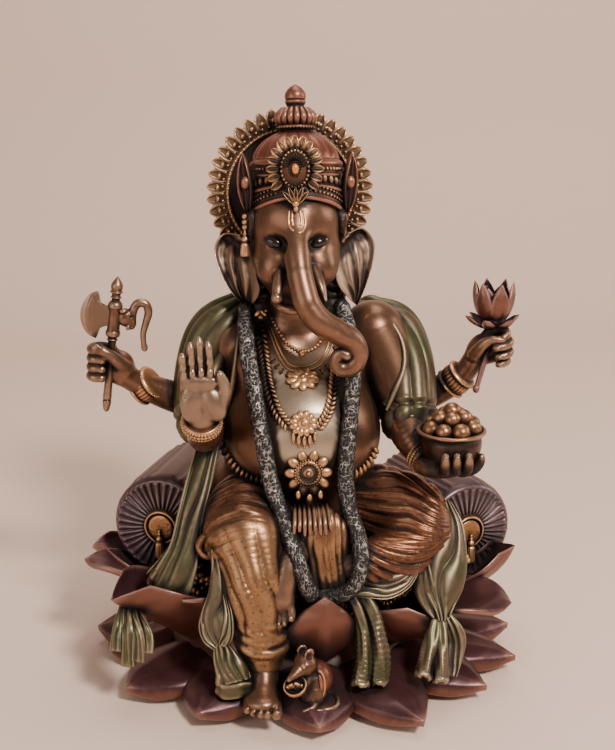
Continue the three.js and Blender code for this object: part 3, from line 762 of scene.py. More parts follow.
def nape_hair():
    """Dark curls that fill the hollow between the jaw, the ears and the garlands."""
    clay = Clay((-30, -26, 150), (32, 16, 200), 0.6, 4)
    for side, x in ((-1, -15.5), (1, 14.5)):
        clay.add(egg((x, -1, 172), (8.0, 8, 15)), egg((x, -6, 163), (6.4, 6.5, 8)), soft=3)
        for i in range(4):
            z = 176 - 4.4 * i
            curl = [
                [x - side * 4, -9, z, 1.2], [x, -10.6, z - 1.5, 1.5], [x + side * 3, -9.4, z - 1, 1.4],
                [x + side * 5, -6, z + 1, 1.0],
            ]
            clay.add(limb(curl), soft=0.7)
    points, faces = clay.skin()
    points = roughened(points, faces, 1.8, 51, 0.35)
    piece("nape_hair", points, faces, DARK, "skin_bronze", (), None, 0.35)


# ---- ears ----
def ear(side, name):
    """A fan of thin, ridged skin, its inner edge on the head and its outer edge free, down to a point."""
    if side > 0:
        inner = [
            (17.6, -9, 193.5), (16.6, -11, 187), (15.6, -13, 180), (17.6, -14, 174), (21.6, -12, 169),
            (25.0, -10, 165.6),
        ]
        outer = [
            (21.0, -3, 196.2), (29.5, 1, 197.6), (34.6, 1, 191.4), (33.6, -2, 182.6), (30.2, -6, 173.6),
            (25.8, -9.4, 165),
        ]
    else:
        inner = [
            (-20.6, -9, 193.5), (-19.2, -11, 187), (-18.4, -13, 180), (-17.0, -15, 174), (-18.4, -13, 169),
            (-21.2, -10, 165.2),
        ]
        outer = [
            (-24.2, -3, 196.2), (-32, 1, 195.8), (-36.0, 1, 190), (-34.8, -2, 182.4), (-29.8, -6, 172.4),
            (-22.2, -9.2, 164.4),
        ]
    inner, outer = spline(inner, 14), spline(outer, 14)
    s = np.linspace(0, 1, len(inner))[:, None]
    v = np.linspace(0, 1, 41)[None, :]
    ridges = np.cos(2 * pi * (3.6 * v - 0.3 + 0.14 * np.sin(5 * s))) * (0.25 + 0.75 * s)
    ridges = ridges * np.sin(pi * np.clip(v * 1.06, 0, 1))
    fold = bump(s, 0.05, 0.08) * smooth(0.0, 0.35, v)
    hollow = bump(s, 0.22, 0.10) * smooth(0.05, 0.3, v) * smooth(0.98, 0.85, v)
    rim = smooth(0.86, 1.0, v)
    depth = 1.05 * ridges * np.minimum(1, 5 * (1 - s)) + 3.0 * fold + 1.3 * rim
    depth = depth - 2.2 * np.sin(pi * v) * (1 - fold) - 1.6 * hollow
    middle = inner[:, None] * (1 - v[..., None]) + outer[:, None] * v[..., None]
    thick = 0.75 + 0.55 * rim + 0.5 * fold
    front = middle + np.stack([0 * depth, -depth - thick, 0 * depth], -1)
    back = (middle + np.stack([0 * depth, -depth + thick, 0 * depth], -1))[:, ::-1]
    rings = np.concatenate([front, back], 1)
    points, faces = capped(rings if side < 0 else rings[:, ::-1])
    light = 0.35 + 0.5 * fold + 0.3 * rim + 0 * ridges
    # dark: painted shade in the hollow under the rolled top fold, plus dark wash in the valleys between the
    # ridges
    dark = 0.8 * hollow * smooth(0.75, 0.45, v) + 0.22 * smooth(0.1, -0.6, ridges)
    both = [np.append(np.concatenate([share, share[:, ::-1]], 1).ravel(), [0, 0]) for share in (light, dark)]
    node = "ear_right" if side < 0 else "ear_left"
    piece(name, points, faces, SKIN, "skin_bronze", [node], np.clip(both[0], 0, 1), both[1])


# ---- crown and halo ----
CROWN_AT = np.array([-0.5, -9, 208])
CROWN_TILT = radians(-7)


def on_crown(points):
    """Takes points from the crown's own frame to the figure's."""
    c, s = cos(CROWN_TILT), sin(CROWN_TILT)
    x, y, z = points.T
    return np.stack([x, c * y - s * z, s * y + c * z], 1) + CROWN_AT


def arch(angle):
    """How far the crown's bands rise over the forehead and dip behind the ears."""
    return 7.6 * np.cos(angle / 2) ** 6 - 2.2


def brow_room(angle, height):
    """How far the crown's lower bands stand out over the forehead."""
    return 2.4 * np.cos(angle / 2) ** 6 * smooth(14, 0, height)


def crown():
    cap = spline([
        (12, -3), (18.6, -2.2), (19.7, -1.5), (19.9, -0.6), (19.3, 0.2), (19.3, 5.0), (20.1, 5.8),
        (20.4, 7.0), (19.4, 7.8), (18.7, 9.5), (18.9, 11.6), (19.8, 12.6), (20.2, 13.6), (19.5, 14.3),
        (19.3, 15.8), (19.5, 17.3), (20.0, 18.0), (19.6, 19.2), (18.4, 20.2),
    ], 4)
    dome = spline(
        [(18.4, 20.2), (17.6, 22.4), (15.8, 25.2), (13, 28.2), (9.6, 30.6), (7.2, 31.8), (6.4, 32.4)], 8,
    )

    def banded(radius, height, angle):
        lift = arch(angle) * smooth(16, -2, height)
        return radius + brow_room(angle, height), height + lift

    def lobed(radius, height, angle):
        wave = np.abs(np.sin(angle * 7)) ** 0.45
        swell = np.sin(pi * np.clip((height - 20.2) / 12, 0, 1)) ** 0.6
        return radius + swell * (1.7 * wave - 0.8), height

    points, faces = lathe(cap, 160, banded)
    heap = Heap().add(on_crown(points), faces)
    points, faces = lathe(dome, 256, lobed)
    heap.add(on_crown(points), faces)
    neck = spline([(6.2, 31), (6.4, 32.4), (7.6, 33.2), (7.8, 34.2), (6.6, 35), (5.6, 36)], 5)
    points, faces = lathe(neck, 64)
    heap.add(on_crown(points), faces)
    for i in range(18):
        angle = 2 * pi * i / 18
        rib = [(6.6, 34.8, 1.0), (7.9, 37.0, 1.35), (7.6, 39.0, 1.3), (5.9, 41.2, 0.9)]
        path = [[r * sin(angle), -r * cos(angle), z, w] for r, z, w in rib]
        points, faces = sweep(path, None, 10, 4, (sin(angle), -cos(angle), 0))
        heap.add(on_crown(points), faces)
    heap.piece("crown_cap", RED, "crown_red", ["crown"])


def crown_finial():
    profile = spline([
        (4.6, 38.5), (4.4, 41.4), (3.7, 42.6), (4.2, 43.6), (4.5, 44.6), (4.1, 45.2), (4.5, 45.9),
        (4.5, 47.3), (3.9, 48.8), (2.4, 50.4), (0.9, 51.3), (0.15, 51.7),
    ], 6)
    points, faces = lathe(profile, 64)
    piece("crown_bulb", on_crown(points), faces, RED, "crown_red", ["crown_finial"])


def ring_points(radius, height, count):
    """Evenly spaced points on a level ring, and the angle of each from the front."""
    angle = 2 * pi * np.arange(count) / count
    return angle, np.stack([radius * np.sin(angle), -radius * np.cos(angle), height + 0 * angle], 1)


def crown_beads():
    heap = Heap()
    for height, count in ((1.8, 66), (3.9, 66)):
        angle, at = ring_points(19.6, height, count)
        at[:, :2] *= 1 + brow_room(angle, height)[:, None] / 19.6
        at[:, 2] += arch(angle)
        beads(heap, on_crown(at), 0.62, 0.8)
    angle, at = ring_points(19.8, 15.9, 60)
    beads(heap, on_crown(at), 0.72, 0.6)
    angle, at = ring_points(19.5, 9.9, 34)
    at[:, 2] += arch(angle) * 0.5
    beads(heap, on_crown(at), (1.3, 1.1, 1.9))
    angle, at = ring_points(7.9, 33.6, 36)
    beads(heap, on_crown(at), 0.5)
    heap.piece("crown_beadwork", GOLD, "gold_trim")


def crown_medallion():
    """A fan of leaves round an oval stone, on a three-leaf foot, standing on the crown's front."""
    heap = Heap()
    middle = 15.6

    def place(points):
        return on_crown(points + [-2.2, -21.6, 0])

    dish = egg_skin((6.6, 1.6, 8.6), 28, 12)
    heap.add(place(turned(dish[0], (0, 0, 1), (0, 1, 0)) + [0, 0.8, middle]), dish[1])
    for i in range(15):
        angle = radians(-126 + 252 * i / 14)
        points, faces = leaf(5.8, 3.5, 1.7, 0.5, belly=0.5, point=0.6, vein=0.8)
        out = (sin(angle), 0.06, cos(angle))
        root = np.array([6.2 * sin(angle), 0.2 - 0.5 * cos(angle), middle + 8.0 * cos(angle)])
        heap.add(place(turned(points, out, (0, 1, 0)) + root), faces, 0.7)
    for i in range(11):
        angle = radians(-70 + 140 * i / 10)
        points, faces = leaf(4.2, 1.5, 1.0)
        root = np.array([2.2 * sin(angle), -0.9, middle + 0.4 + 3.0 * cos(angle)])
        heap.add(place(turned(points, (sin(angle), -0.05, cos(angle)), (0, 1, 0)) + root), faces, 0.3)
    for radius, high, count, size in ((5.6, 7.4, 26, 0.66), (2.3, 3.0, 16, 0.42)):
        angle = 2 * pi * np.arange(count) / count
        at = np.stack([radius * np.sin(angle), 0 * angle - 1.0, middle + high * np.cos(angle)], 1)
        beads(heap, place(at), size, 0.8)
    for angle, length in ((0, 7.6), (22, 8.2), (-22, 8.2), (44, 8.0), (-44, 8.0)):
        points, faces = leaf(length, 2.0, 1.3, 0.5, vein=0.8)
        out = (sin(radians(angle)), -0.1, cos(radians(angle)))
        heap.add(place(turned(points, out, (0, 1, 0)) + [0, -2.0, 1.0]), faces, 0.5)
    beads(heap, place(np.array([[0, -2.6, 1.4]])), (1.5, 1.3, 1.4))
    beads(heap, place(np.array([[0, -2.8, -0.6]])), (1.0, 0.9, 1.3))
    heap.piece("crown_medallion", GOLD, "gold_trim")
    stone = egg_skin((1.5, 1.1, 2.2), 20, 12)
    piece("crown_stone", place(stone[0] + [0, -1.9, middle]), stone[1], AMBER, "gold_trim")


def crown_horns():
    heap = Heap()
    for side, x in ((-1, -21.6), (1, 20.6)):
        points, faces = leaf(25, 6.8, 3.4, 0.5, rows=34, columns=17, belly=0.45, vein=1.0)
        points = turned(points, (side * 0.10, 0.0, 1), (-side * 0.35, 1, 0))
        heap.add(points + [x - side * 0.6, -14.5, 206.5], faces)
        beads(heap, [[x + side * 1.0, -17.4, 219.5]], (2.0, 1.6, 2.8))
    heap.piece("crown_side_leaves", RED, "crown_red")


def halo():
    node_low, node_high = (np.array(corner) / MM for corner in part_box("halo"))
    centre = (node_low + node_high) / 2
    radius = (node_high - node_low)[0] / 2
    middle = np.array([centre[0], node_high[1], centre[2]])
    thick = node_high[1] - node_low[1]
    profile = spline([
        (2, 0.0), (radius - 7, 0.0), (radius - 4.4, 0.4), (radius - 4, 1.6), (radius - 4.6, 2.6),
        (radius - 8, 3.0), (radius - 9.2, 3.6), (radius - 9.9, 3.4), (radius - 10.2, 2.2),
        (radius - 11, 1.8), (2, 1.8),
    ], 4)
    points, faces = lathe(profile, 160)
    heap = Heap().add(turned(points, (0, -1, 0), (0, 0, 1)) + middle, faces)
    count = 40
    for i in range(count):
        angle = 2 * pi * (i + 0.5) / count
        out = np.array([sin(angle), 0, cos(angle)])
        points, faces = leaf(9.4, 6.4, 2.4, 0.2, belly=0.5, point=0.62, vein=0.0)
        root = middle + out * (radius - 9.4) - [0, thick * 0.34, 0]
        heap.add(turned(points, out, (0, 1, 0)) + root, faces, 0.8)
        beads(heap, [middle + out * (radius - 4.9) - [0, thick * 0.62, 0]], (0.8, 0.7, 1.1), 0.2)
    for reach, number, size, tint in ((radius - 9.3, 84, 0.72, 0.5), (radius - 7.1, 60, 0.62, 0.2)):
        angle = 2 * pi * np.arange(number) / number
        at = np.stack([reach * np.sin(angle), 0 * angle, reach * np.cos(angle)], 1) + middle - [0, 3.5, 0]
        beads(heap, at, size, tint)
    heap.piece("halo_disc", GOLD_DARK, "gold_trim", ["halo"])


# ---- lotus base ----
FELT = bronze(
    "black_felt", (0.004, 0.004, 0.004), (0.010, 0.009, 0.009), (0.03, 0.028, 0.026), metal=0.0,
    rough=(0.95, 1.0), grain=1.0,
)
STEEL = bronze(
    "steel_pin", (0.2, 0.2, 0.2), (0.5, 0.5, 0.52), (0.7, 0.7, 0.72), metal=1.0, rough=(0.3, 0.4),
    grain=0.05,
)


def squeezed(points, share):
    return points * [1, share, 1]


def felt_pad():
    def fuzzy(radius, height, angle):
        return radius + 0.25 * np.sin(angle * 31) * np.sin(angle * 17 + height), height

    profile = spline([(1, 0), (65.4, 0), (66, 0.5), (66, 1.6), (65.5, 2.0), (1, 2.0)], 3)
    points, faces = lathe(profile, 200, fuzzy)
    piece("felt_pad_cloth", squeezed(points, 60 / 66), faces, FELT, "felt_black", ["felt_pad"])


def lotus_core():
    profile = spline([
        (1, 2.4), (60, 2.4), (63, 5), (64, 9), (62, 15), (58, 21), (54, 27), (51, 30.4), (48, 31), (1, 31),
    ], 5)
    points, faces = lathe(profile, 180)
    points = squeezed(points, 0.92)
    points = roughened(points, faces, 4.0, 5, 0.35)
    piece("lotus_core_body", points, faces, PETAL, "petal_bronze", ["lotus_core"])


def seed_pod():
    """The pod's top, with stamens crowded round its edge."""
    profile = spline(
        [(1, 31.4), (47, 31.4), (49.4, 33), (50, 36), (48.6, 38.4), (46, 39.6), (40, 40), (1, 40)], 4,
    )
    points, faces = lathe(profile, 160)
    heap = Heap().add(squeezed(points, 0.92), faces)
    seeds = np.random.default_rng(11)
    count = 620
    angle = seeds.uniform(0, 2 * pi, count)
    rise = seeds.uniform(0, 1, count)
    reach = 48 + 6.4 * (1 - rise) + seeds.uniform(-1, 1, count)
    at = np.stack([
        reach * np.sin(angle), -reach * 0.92 * np.cos(angle),
        33.5 + 9.5 * rise + seeds.uniform(-0.8, 0.8, count),
    ], 1)
    beads(heap, at, np.repeat(seeds.uniform(1.15, 1.9, count)[:, None], 3, 1), 0.6)
    heap.piece("seed_pod_stamens", GOLD, "gold_trim", ["seed_pod"])


def petal_skin(spine, width, thick, cup, keel=0.0, rim=0.0, waist=0.62, full=0.45, point=0.8, bow=1.8,
               curl=0.0, rows=40, around=56):
    """A cupped leaf pointing along -Y: spine is three [out, up] points, cup lifts its sides, keel its middle.

    bow makes the cup round (2) or sharp along the middle (1), and curl opens it towards the tip. Gives the
    points, the faces and, for each point, how much it belongs to the upper face."""
    a, b, c = (np.array(p, float) for p in spine)
    s = np.linspace(0, 1, rows)[:, None]
    line = (1 - s) ** 2 * a + 2 * s * (1 - s) * b + s**2 * c
    slope = 2 * (1 - s) * (b - a) + 2 * s * (c - b)
    slope /= np.linalg.norm(slope, axis=1, keepdims=True)
    swell = np.where(s < full, waist + (1 - waist) * np.sin(np.clip(s / full, 0, 1) * pi / 2),
                     np.cos(np.clip((s - full) / (1 - full), 0, 1) * pi / 2) ** point)
    half = width / 2 * np.maximum(swell, 0.03)
    turn = np.linspace(0, 2 * pi, around, endpoint=False)[None]
    v = np.sign(np.cos(turn)) * np.abs(np.cos(turn)) ** 0.62
    h = np.sign(np.sin(turn)) * np.abs(np.sin(turn)) ** 0.62
    body = thick / 2 * np.minimum(1, 0.30 + swell * 1.1)
    rolled = rim * bump(np.abs(v), 0.93, 0.12) * np.minimum(1, swell * 2)
    ridge = keel * bump(v, 0, 0.10) * smooth(0.02, 0.2, s) * np.minimum(1, swell * 1.5)
    off = cup * (1 - curl * s**2) * np.abs(v) ** bow * np.minimum(1, swell * 2) + h * body
    off = off + np.where(h > 0, rolled + ridge, -rolled)
    out = line[:, :1] - slope[:, 1:] * off
    up = line[:, 1:] + slope[:, :1] * off
    rings = np.stack([half * v, -out, up], -1)
    points, faces = capped(rings)
    face = np.append((smooth(-0.1, 0.5, h) + 0 * s).ravel(), [0.5, 0.5])
    return points, faces, face


def pointed(points, degrees, squeeze=1.0, at=(0, 0, 0)):
    """Turns a petal from -Y to its place round a vertical axis; + is towards +X."""
    c, s = cos(radians(degrees)), sin(radians(degrees))
    x, y, z = points.T
    return np.stack([x * c - y * s, (x * s + y * c) * squeeze, z], 1) + at


SQUEEZE = 0.93  # the lotus is shallower front to back than side to side
LOWER_PETALS = [  # degrees from the front, how far the tip reaches, and width; the last has no CAD node
    (1, 101, 37), (24, 109, 38), (47, 105, 36), (65, 106, 34), (84, 101, 36), (116, 99, 46), (152, 97, 50),
    (190, 97, 50), (230, 96, 50), (267, 95, 40), (307, 98, 38), (331, 97, 36), (-79, 90, 32),
]
UPPER_PETALS = [  # name, degrees, spine, width, cup and curl; the last three fill in round the back
    ("front", 4.7, [(61, 17), (79, 34), (74.5, 54)], 33, 5.6, 0),
    ("right_1", -42, [(52, 16), (66, 42), (79, 48)], 32, 8, 0.8),
    ("right_2", -57, [(54, 15), (80, 34), (99, 47.6)], 44, 20, 0.5),
    ("right_3", -82, [(56, 16), (82, 48), (98.5, 50)], 31, 8, 1.3),
    ("right_4", -96, [(56, 20), (82, 42), (96.5, 47)], 34, 6, 0),
    ("right_5", -140, [(56, 20), (74, 58), (88, 49)], 42, 5.2, 0),
    ("left_1", 43, [(50, 15), (70, 20), (86, 35.7)], 38, 22, 0.6),
    ("left_2", 60, [(54, 14), (84, 40), (105, 38)], 42, 9, 1.6),
    ("left_3", 82, [(56, 18), (92, 30), (102, 50)], 30, 10, 0.6),
    ("left_4", 96, [(56, 20), (88, 42), (104, 49)], 34, 5.2, 0),
    ("left_5", 140, [(56, 20), (74, 58), (88, 49)], 42, 5.2, 0),
    ("back", 180, [(56, 20), (74, 58), (86, 49)], 42, 5.2, 0),
    ("back_right", -118, [(56, 20), (76, 60), (92, 50)], 38, 5.2, 0),
    ("back_left", 118, [(56, 20), (76, 60), (92, 50)], 38, 5.2, 0),
]


def lower_petals():
    for i, (degrees, reach, width) in enumerate(LOWER_PETALS):
        spine = [(52, 14), (80, 8.4), (reach, 7.2)]
        skin, faces, face = petal_skin(spine, width, 8.8, -2.4, keel=-1.1, rim=0.3, full=0.42, point=0.95)
        points = pointed(skin, degrees, SQUEEZE)
        points = roughened(points, faces, 9.0, 20 + i, 0.25)
        node = f"lower_petal_{i + 1}"
        replaces = [node] if i < len(LOWER_PETALS) - 1 else ()
        piece(f"{node}_leaf", points, faces, PLUM, "petal_bronze", replaces, 1 - face)


def upper_petals():
    for k, (name, degrees, spine, width, cup, curl) in enumerate(UPPER_PETALS):
        if name == "front":
            skin, faces, face = petal_skin(spine, width, 3.2, cup, full=0.36, point=0.85, bow=1.05)
        else:
            skin, faces, face = petal_skin(
                spine, width, 3.0, cup, keel=0.4, rim=0.4, full=0.5, point=0.72, curl=curl,
            )
        points = pointed(skin, degrees, SQUEEZE)
        points = roughened(points, faces, 10.0, 40 + k, 0.25)
        tint = smooth(18, 40, points[:, 2]) if name == "front" else 1 - face
        replaces = () if name.startswith("back") else [f"upper_petal_{name}"]
        piece(f"upper_petal_{name}_leaf", points, faces, PLUM, "petal_bronze", replaces, tint)


# ---- bolsters ----
def tassel(heap, top, length, tint=0.5):
    """A cord, a bell and a skirt of threads hanging straight down from a point."""
    profile = spline([
        (0.5, 0), (0.6, -1.6), (1.0, -2.0), (0.6, -2.6), (1.3, -3.6), (1.5, -4.6), (0.9, -5.4), (1.4, -6.0),
        (1.7, -7.4), (1.9, -length + 1), (1.5, -length),
    ], 4)

    def threads(radius, height, angle):
        return radius * (1 + 0.16 * np.abs(np.sin(angle * 5)) * (height < -6.0)), height

    points, faces = lathe(profile, 40, threads)
    heap.add(points + top, faces, tint)


def bolster(side):
    end = np.array([-63, -9, 63.0]) if side < 0 else np.array([80, -9, 55.5])
    splay = radians(20)
    out = np.array([side * sin(splay), -cos(splay), 0])
    profile = spline([
        (2, -60), (14, -60), (21.4, -59), (23.6, -56), (24, -50), (24, -30), (24, -9), (23.8, -4.4),
        (23.0, -1.8), (22.0, -0.7), (21, -0.6), (19.6, -0.8), (16.6, -0.7), (13, -0.7), (9.8, -0.9),
        (8.2, -1.2), (5, -1.4), (1, -1.4),
    ], 6)

    def gathered(r, height, angle):
        face = smooth(21.8, 20.4, r) * smooth(6.8, 8.6, r) * (height > -4)
        folds = (np.abs(np.sin(angle * 18 + 0.5 * np.sin(angle * 5))) ** 0.6 * 1.9 - 1.1) * face
        wrinkle = 0.45 * np.sin(angle * 23 + np.sin(angle * 7) * 3 + height * 0.05) * smooth(-2, -8, height)
        return r + wrinkle * (r > 17), height + folds * 0.75

    def place(points):
        return turned(points, out, (0, 0, 1)) + end

    points, faces = lathe(profile, 320, gathered)
    node = "bolster_right" if side < 0 else "bolster_left"
    piece(f"{node}_cushion", place(points), faces, VIOLET, "bolster_violet", [node])
    heap = Heap()
    disc = spline([
        (0.3, 1.0), (3.8, 1.0), (5.6, 0.7), (6.1, -0.1), (6.5, -0.3), (7.0, 0.9), (7.7, 0.9), (8.1, -0.2),
        (8.1, -1.6), (0.3, -1.6),
    ], 4)

    def chased(r, height, angle):
        return r, height + 0.22 * np.sin(angle * 9) * np.cos(r * 3) * smooth(4.8, 4.0, r)

    points, faces = lathe(disc, 96, chased)
    heap.add(place(points), faces, 0.35)
    tassel(heap, end + out * 2.2 + [0, 0, -0.5], 13.5)
    heap.piece(f"{node}_medallion", GOLD, "gold_trim")


# ---- arms and hands ----
def bend_into(points, path, width, depth):
    """How deep a carved line runs at each point, along a path in millimetres."""
    line = spline(path, 10)
    best = np.full(len(points), 1e9)
    for a, b in zip(line[:-1], line[1:]):
        ab = b - a
        h = np.clip((points - a) @ ab / max(float(ab @ ab), 1e-9), 0, 1)
        best = np.minimum(best, np.linalg.norm(points - a - h[:, None] * ab, axis=1))
    return depth * np.exp(-((best / width) ** 2))


def arm_rear_right():
    """The arm that holds the axe: a fist with its thumb laid up along the shaft."""
    clay = Clay((-97, -20, 110), (-20, 26, 156), 0.42, 5)
    clay.add(limb([[-29, 15, 130, 9], [-42, 11, 116, 8.2]]))
    clay.add(limb([
        [-43, 11, 115, 7.8], [-55, 5.5, 120.5, 7.2], [-66, 0, 126.5, 6.2], [-73, -3.4, 131.2, 5.2],
        [-77, -5, 134.4, 5.2],
    ]), soft=3)
    clay.add(egg((-79.6, -4.6, 138.2), (6.8, 4.8, 7.6), (0, 42, 0)), soft=3)
    clay.add(egg((-83.2, -3.4, 141.6), (4.6, 3.4, 6.6)), soft=2.5)
    for i in range(4):
        x, z = -0.25 * i, 147.2 - 4.0 * i
        finger = [[-82, -3.6, z - 1.0, 2.3], [-87.0 + x, -4.6, z, 2.45], [-90.2 + x, -8.2, z + 0.3, 2.3],
                  [-89.0 + x, -11.8, z + 0.2, 2.15], [-85.6 + x, -12.8, z - 0.2, 1.85]]
        clay.add(limb(finger), soft=0.55)
    clay.add(limb([
        [-75.6, -7.4, 137.4, 3.4], [-79.6, -11.0, 142.6, 2.8], [-84, -12.8, 146.6, 2.35],
        [-88.4, -12.2, 149.2, 1.9],
    ]), soft=1.4)
    clay.add(egg((-87.4, -14.1, 149.6), (1.5, 0.5, 1.1), (0, 30, 0)), soft=0.15)
    piece("arm_rear_right_skin", *clay.skin(), SKIN, "skin_bronze", ["arm_rear_right"])


def arm_rear_left():
    """The arm that holds the lotus: thumb and forefinger pinch its stem, the other fingers curl under."""
    clay = Clay((24, -24, 104), (100, 26, 160), 0.42, 5)
    clay.add(limb([[31, 15, 128, 9], [45, 11, 113, 8.2]]))
    clay.add(limb([
        [46, 11, 112, 7.8], [58, 6.4, 117, 7.2], [71, 1, 125, 6.2], [76.4, -2.4, 131, 5.2],
        [79, -4, 135.4, 5.0],
    ]), soft=3)
    clay.add(egg((82.0, -5.6, 142.4), (5.4, 4.6, 8.0), (0, 24, 0)), soft=3)
    fingers = [
        [
            [83.6, -6.4, 146.4, 3.0], [86.6, -7.6, 151.2, 2.5], [91.4, -10.2, 153.0, 2.2],
            [92.8, -13.2, 151.2, 2.0], [90.0, -15.2, 149.2, 1.7],
        ],
        [
            [85.4, -6.8, 146, 2.7], [92.0, -8.6, 148.6, 2.4], [94.4, -12.0, 147.4, 2.2],
            [91.6, -15.0, 146.2, 2.0], [87.6, -15.6, 145.6, 1.7],
        ],
        [
            [85.6, -6.8, 142, 2.6], [92.4, -8.4, 144.0, 2.3], [94.8, -11.6, 143.0, 2.1],
            [92.6, -14.4, 142.0, 1.9], [89.0, -15.0, 141.4, 1.65],
        ],
        [
            [84.6, -6.4, 138, 2.4], [91.6, -8.0, 139.4, 2.1], [94.0, -10.8, 138.6, 1.9],
            [92.0, -13.4, 138.0, 1.8], [89.6, -13.8, 137.6, 1.55],
        ],
    ]
    for finger in fingers:
        clay.add(limb(finger), soft=0.55)
        x, y, z, r = finger[-1]
        clay.add(egg((x + 0.4, y - r + 0.1, z), (1.15, 0.5, 0.9)), soft=0.15)
    clay.add(limb([
        [79.6, -9.0, 141, 3.0], [81.8, -12.4, 146, 2.5], [85.2, -14.6, 149.0, 2.1],
        [88.4, -15.6, 149.4, 1.7],
    ]), soft=1.2)
    piece("arm_rear_left_skin", *clay.skin(), SKIN, "skin_bronze", ["arm_rear_left"])


def arm_front_right():
    """The raised open palm, its fingers together."""
    clay = Clay((-60, -64, 98), (-18, 20, 166), 0.42, 5)
    clay.add(limb([[-33, 5, 147, 10.5], [-39, 1, 129, 9.8], [-41, -7, 115, 9.2]]))
    clay.add(limb([
        [-41, -9, 114, 8.8], [-42, -28, 113.5, 7.8], [-42.8, -43, 119, 6.6], [-43.0, -48.6, 126.5, 6.2],
    ]), soft=3)
    clay.add(egg((-42.4, -51.4, 137), (9.0, 3.7, 10.4)), soft=3)
    clay.add(egg((-37.6, -54.0, 133.6), (4.4, 2.8, 7.0), (0, -20, 0)), soft=2.2)
    clay.add(egg((-47.6, -53.6, 134.4), (3.9, 2.6, 7.6)), soft=2.2)
    clay.add(egg((-43, -54.0, 143.6), (7.8, 1.9, 2.6)), soft=2)
    for foot, tip, top in (
        (-49.6, -50.3, 155.8), (-46.2, -46.9, 160.2), (-42.7, -43.3, 162.4), (-39.2, -39.7, 160.4),
    ):
        knuckle, span = 144.5, top - 144.5

        def at(share):
            return foot + (tip - foot) * share

        finger = [[foot, -52.4, 141, 1.9], [at(0.2), -53.0, knuckle + span * 0.2, 1.72],
                  [at(0.55), -53.6, knuckle + span * 0.55, 1.66],
                  [at(0.85), -54.0, knuckle + span * 0.82, 1.58], [tip, -53.8, top - 1.1, 1.15]]
        clay.add(limb(finger), soft=0.3)
        for share, size in ((0.16, 2.3), (0.48, 2.1), (0.8, 2.0)):
            clay.add(egg((at(share), -54.3, knuckle + span * share), (1.5, 1.35, size)), soft=0.35)
    clay.add(limb([
        [-36.4, -51.4, 130.6, 3.2], [-34.0, -53.0, 137.4, 2.8], [-33.7, -54.0, 142.6, 2.35],
        [-35.2, -54.4, 146.6, 1.7],
    ]), soft=1.2)
    points, faces = clay.skin()
    facing = smooth(-52, -55, points[:, 1])
    lines = (
        [[-38.6, -56.5, 144.2], [-41.6, -57, 139.6], [-41.4, -57, 134], [-39.4, -56, 128.6]],
        [[-38.8, -56.4, 144], [-43.6, -57, 140.6], [-50, -55.4, 137.8]],
        [[-40.8, -56, 146], [-45.4, -57, 142.8], [-50.6, -55, 142.6]],
    )
    depth = sum(bend_into(points, path, 0.62, 0.5) for path in lines) * facing
    points = moved(points, faces, -depth)
    piece("arm_front_right_skin", points, faces, SKIN, "skin_bronze", ["arm_front_right"], 0.35 * facing)


def arm_front_left():
    """The arm that carries the bowl of sweets on its fingertips."""
    clay = Clay((26, -60, 92), (78, 20, 164), 0.45, 5)
    clay.add(limb([[35, 2, 150, 14.5], [41, -2, 138, 13.5], [45.5, -9, 124, 10.8], [46, -13, 118, 9.8]], 12))
    clay.add(limb([[46, -13, 118, 9.4], [48, -24, 109.5, 8.2], [52, -33, 103.4, 6.4]]), soft=3)
    clay.add(egg((60, -42, 101.4), (13.4, 11.0, 5.4), (0, -5, 0)), soft=3)
    for x in (58.1, 62.9, 67.9):
        clay.add(limb([
            [x, -49, 100.6, 2.3], [x, -53.6, 102.6, 2.25], [x, -55.2, 106.0, 2.1], [x, -55.0, 109.0, 1.6],
        ], 8), soft=0.7)
        clay.add(egg((x, -56.8, 108.4), (1.15, 0.5, 1.3)), soft=0.15)
    clay.add(limb([
        [68, -43, 98.6, 3.2], [72, -47, 100.6, 2.6], [74.4, -48, 103.6, 2.2], [75, -48, 106, 1.7],
    ]), soft=0.9)
    points, faces = clay.skin()
    # painted shade on the underside of the hand, beneath the bowl
    under = smooth(47, 53, points[:, 0]) * smooth(107.5, 103, points[:, 2])
    piece("arm_front_left_skin", points, faces, SKIN, "skin_bronze", ["arm_front_left"], None, 0.8 * under)


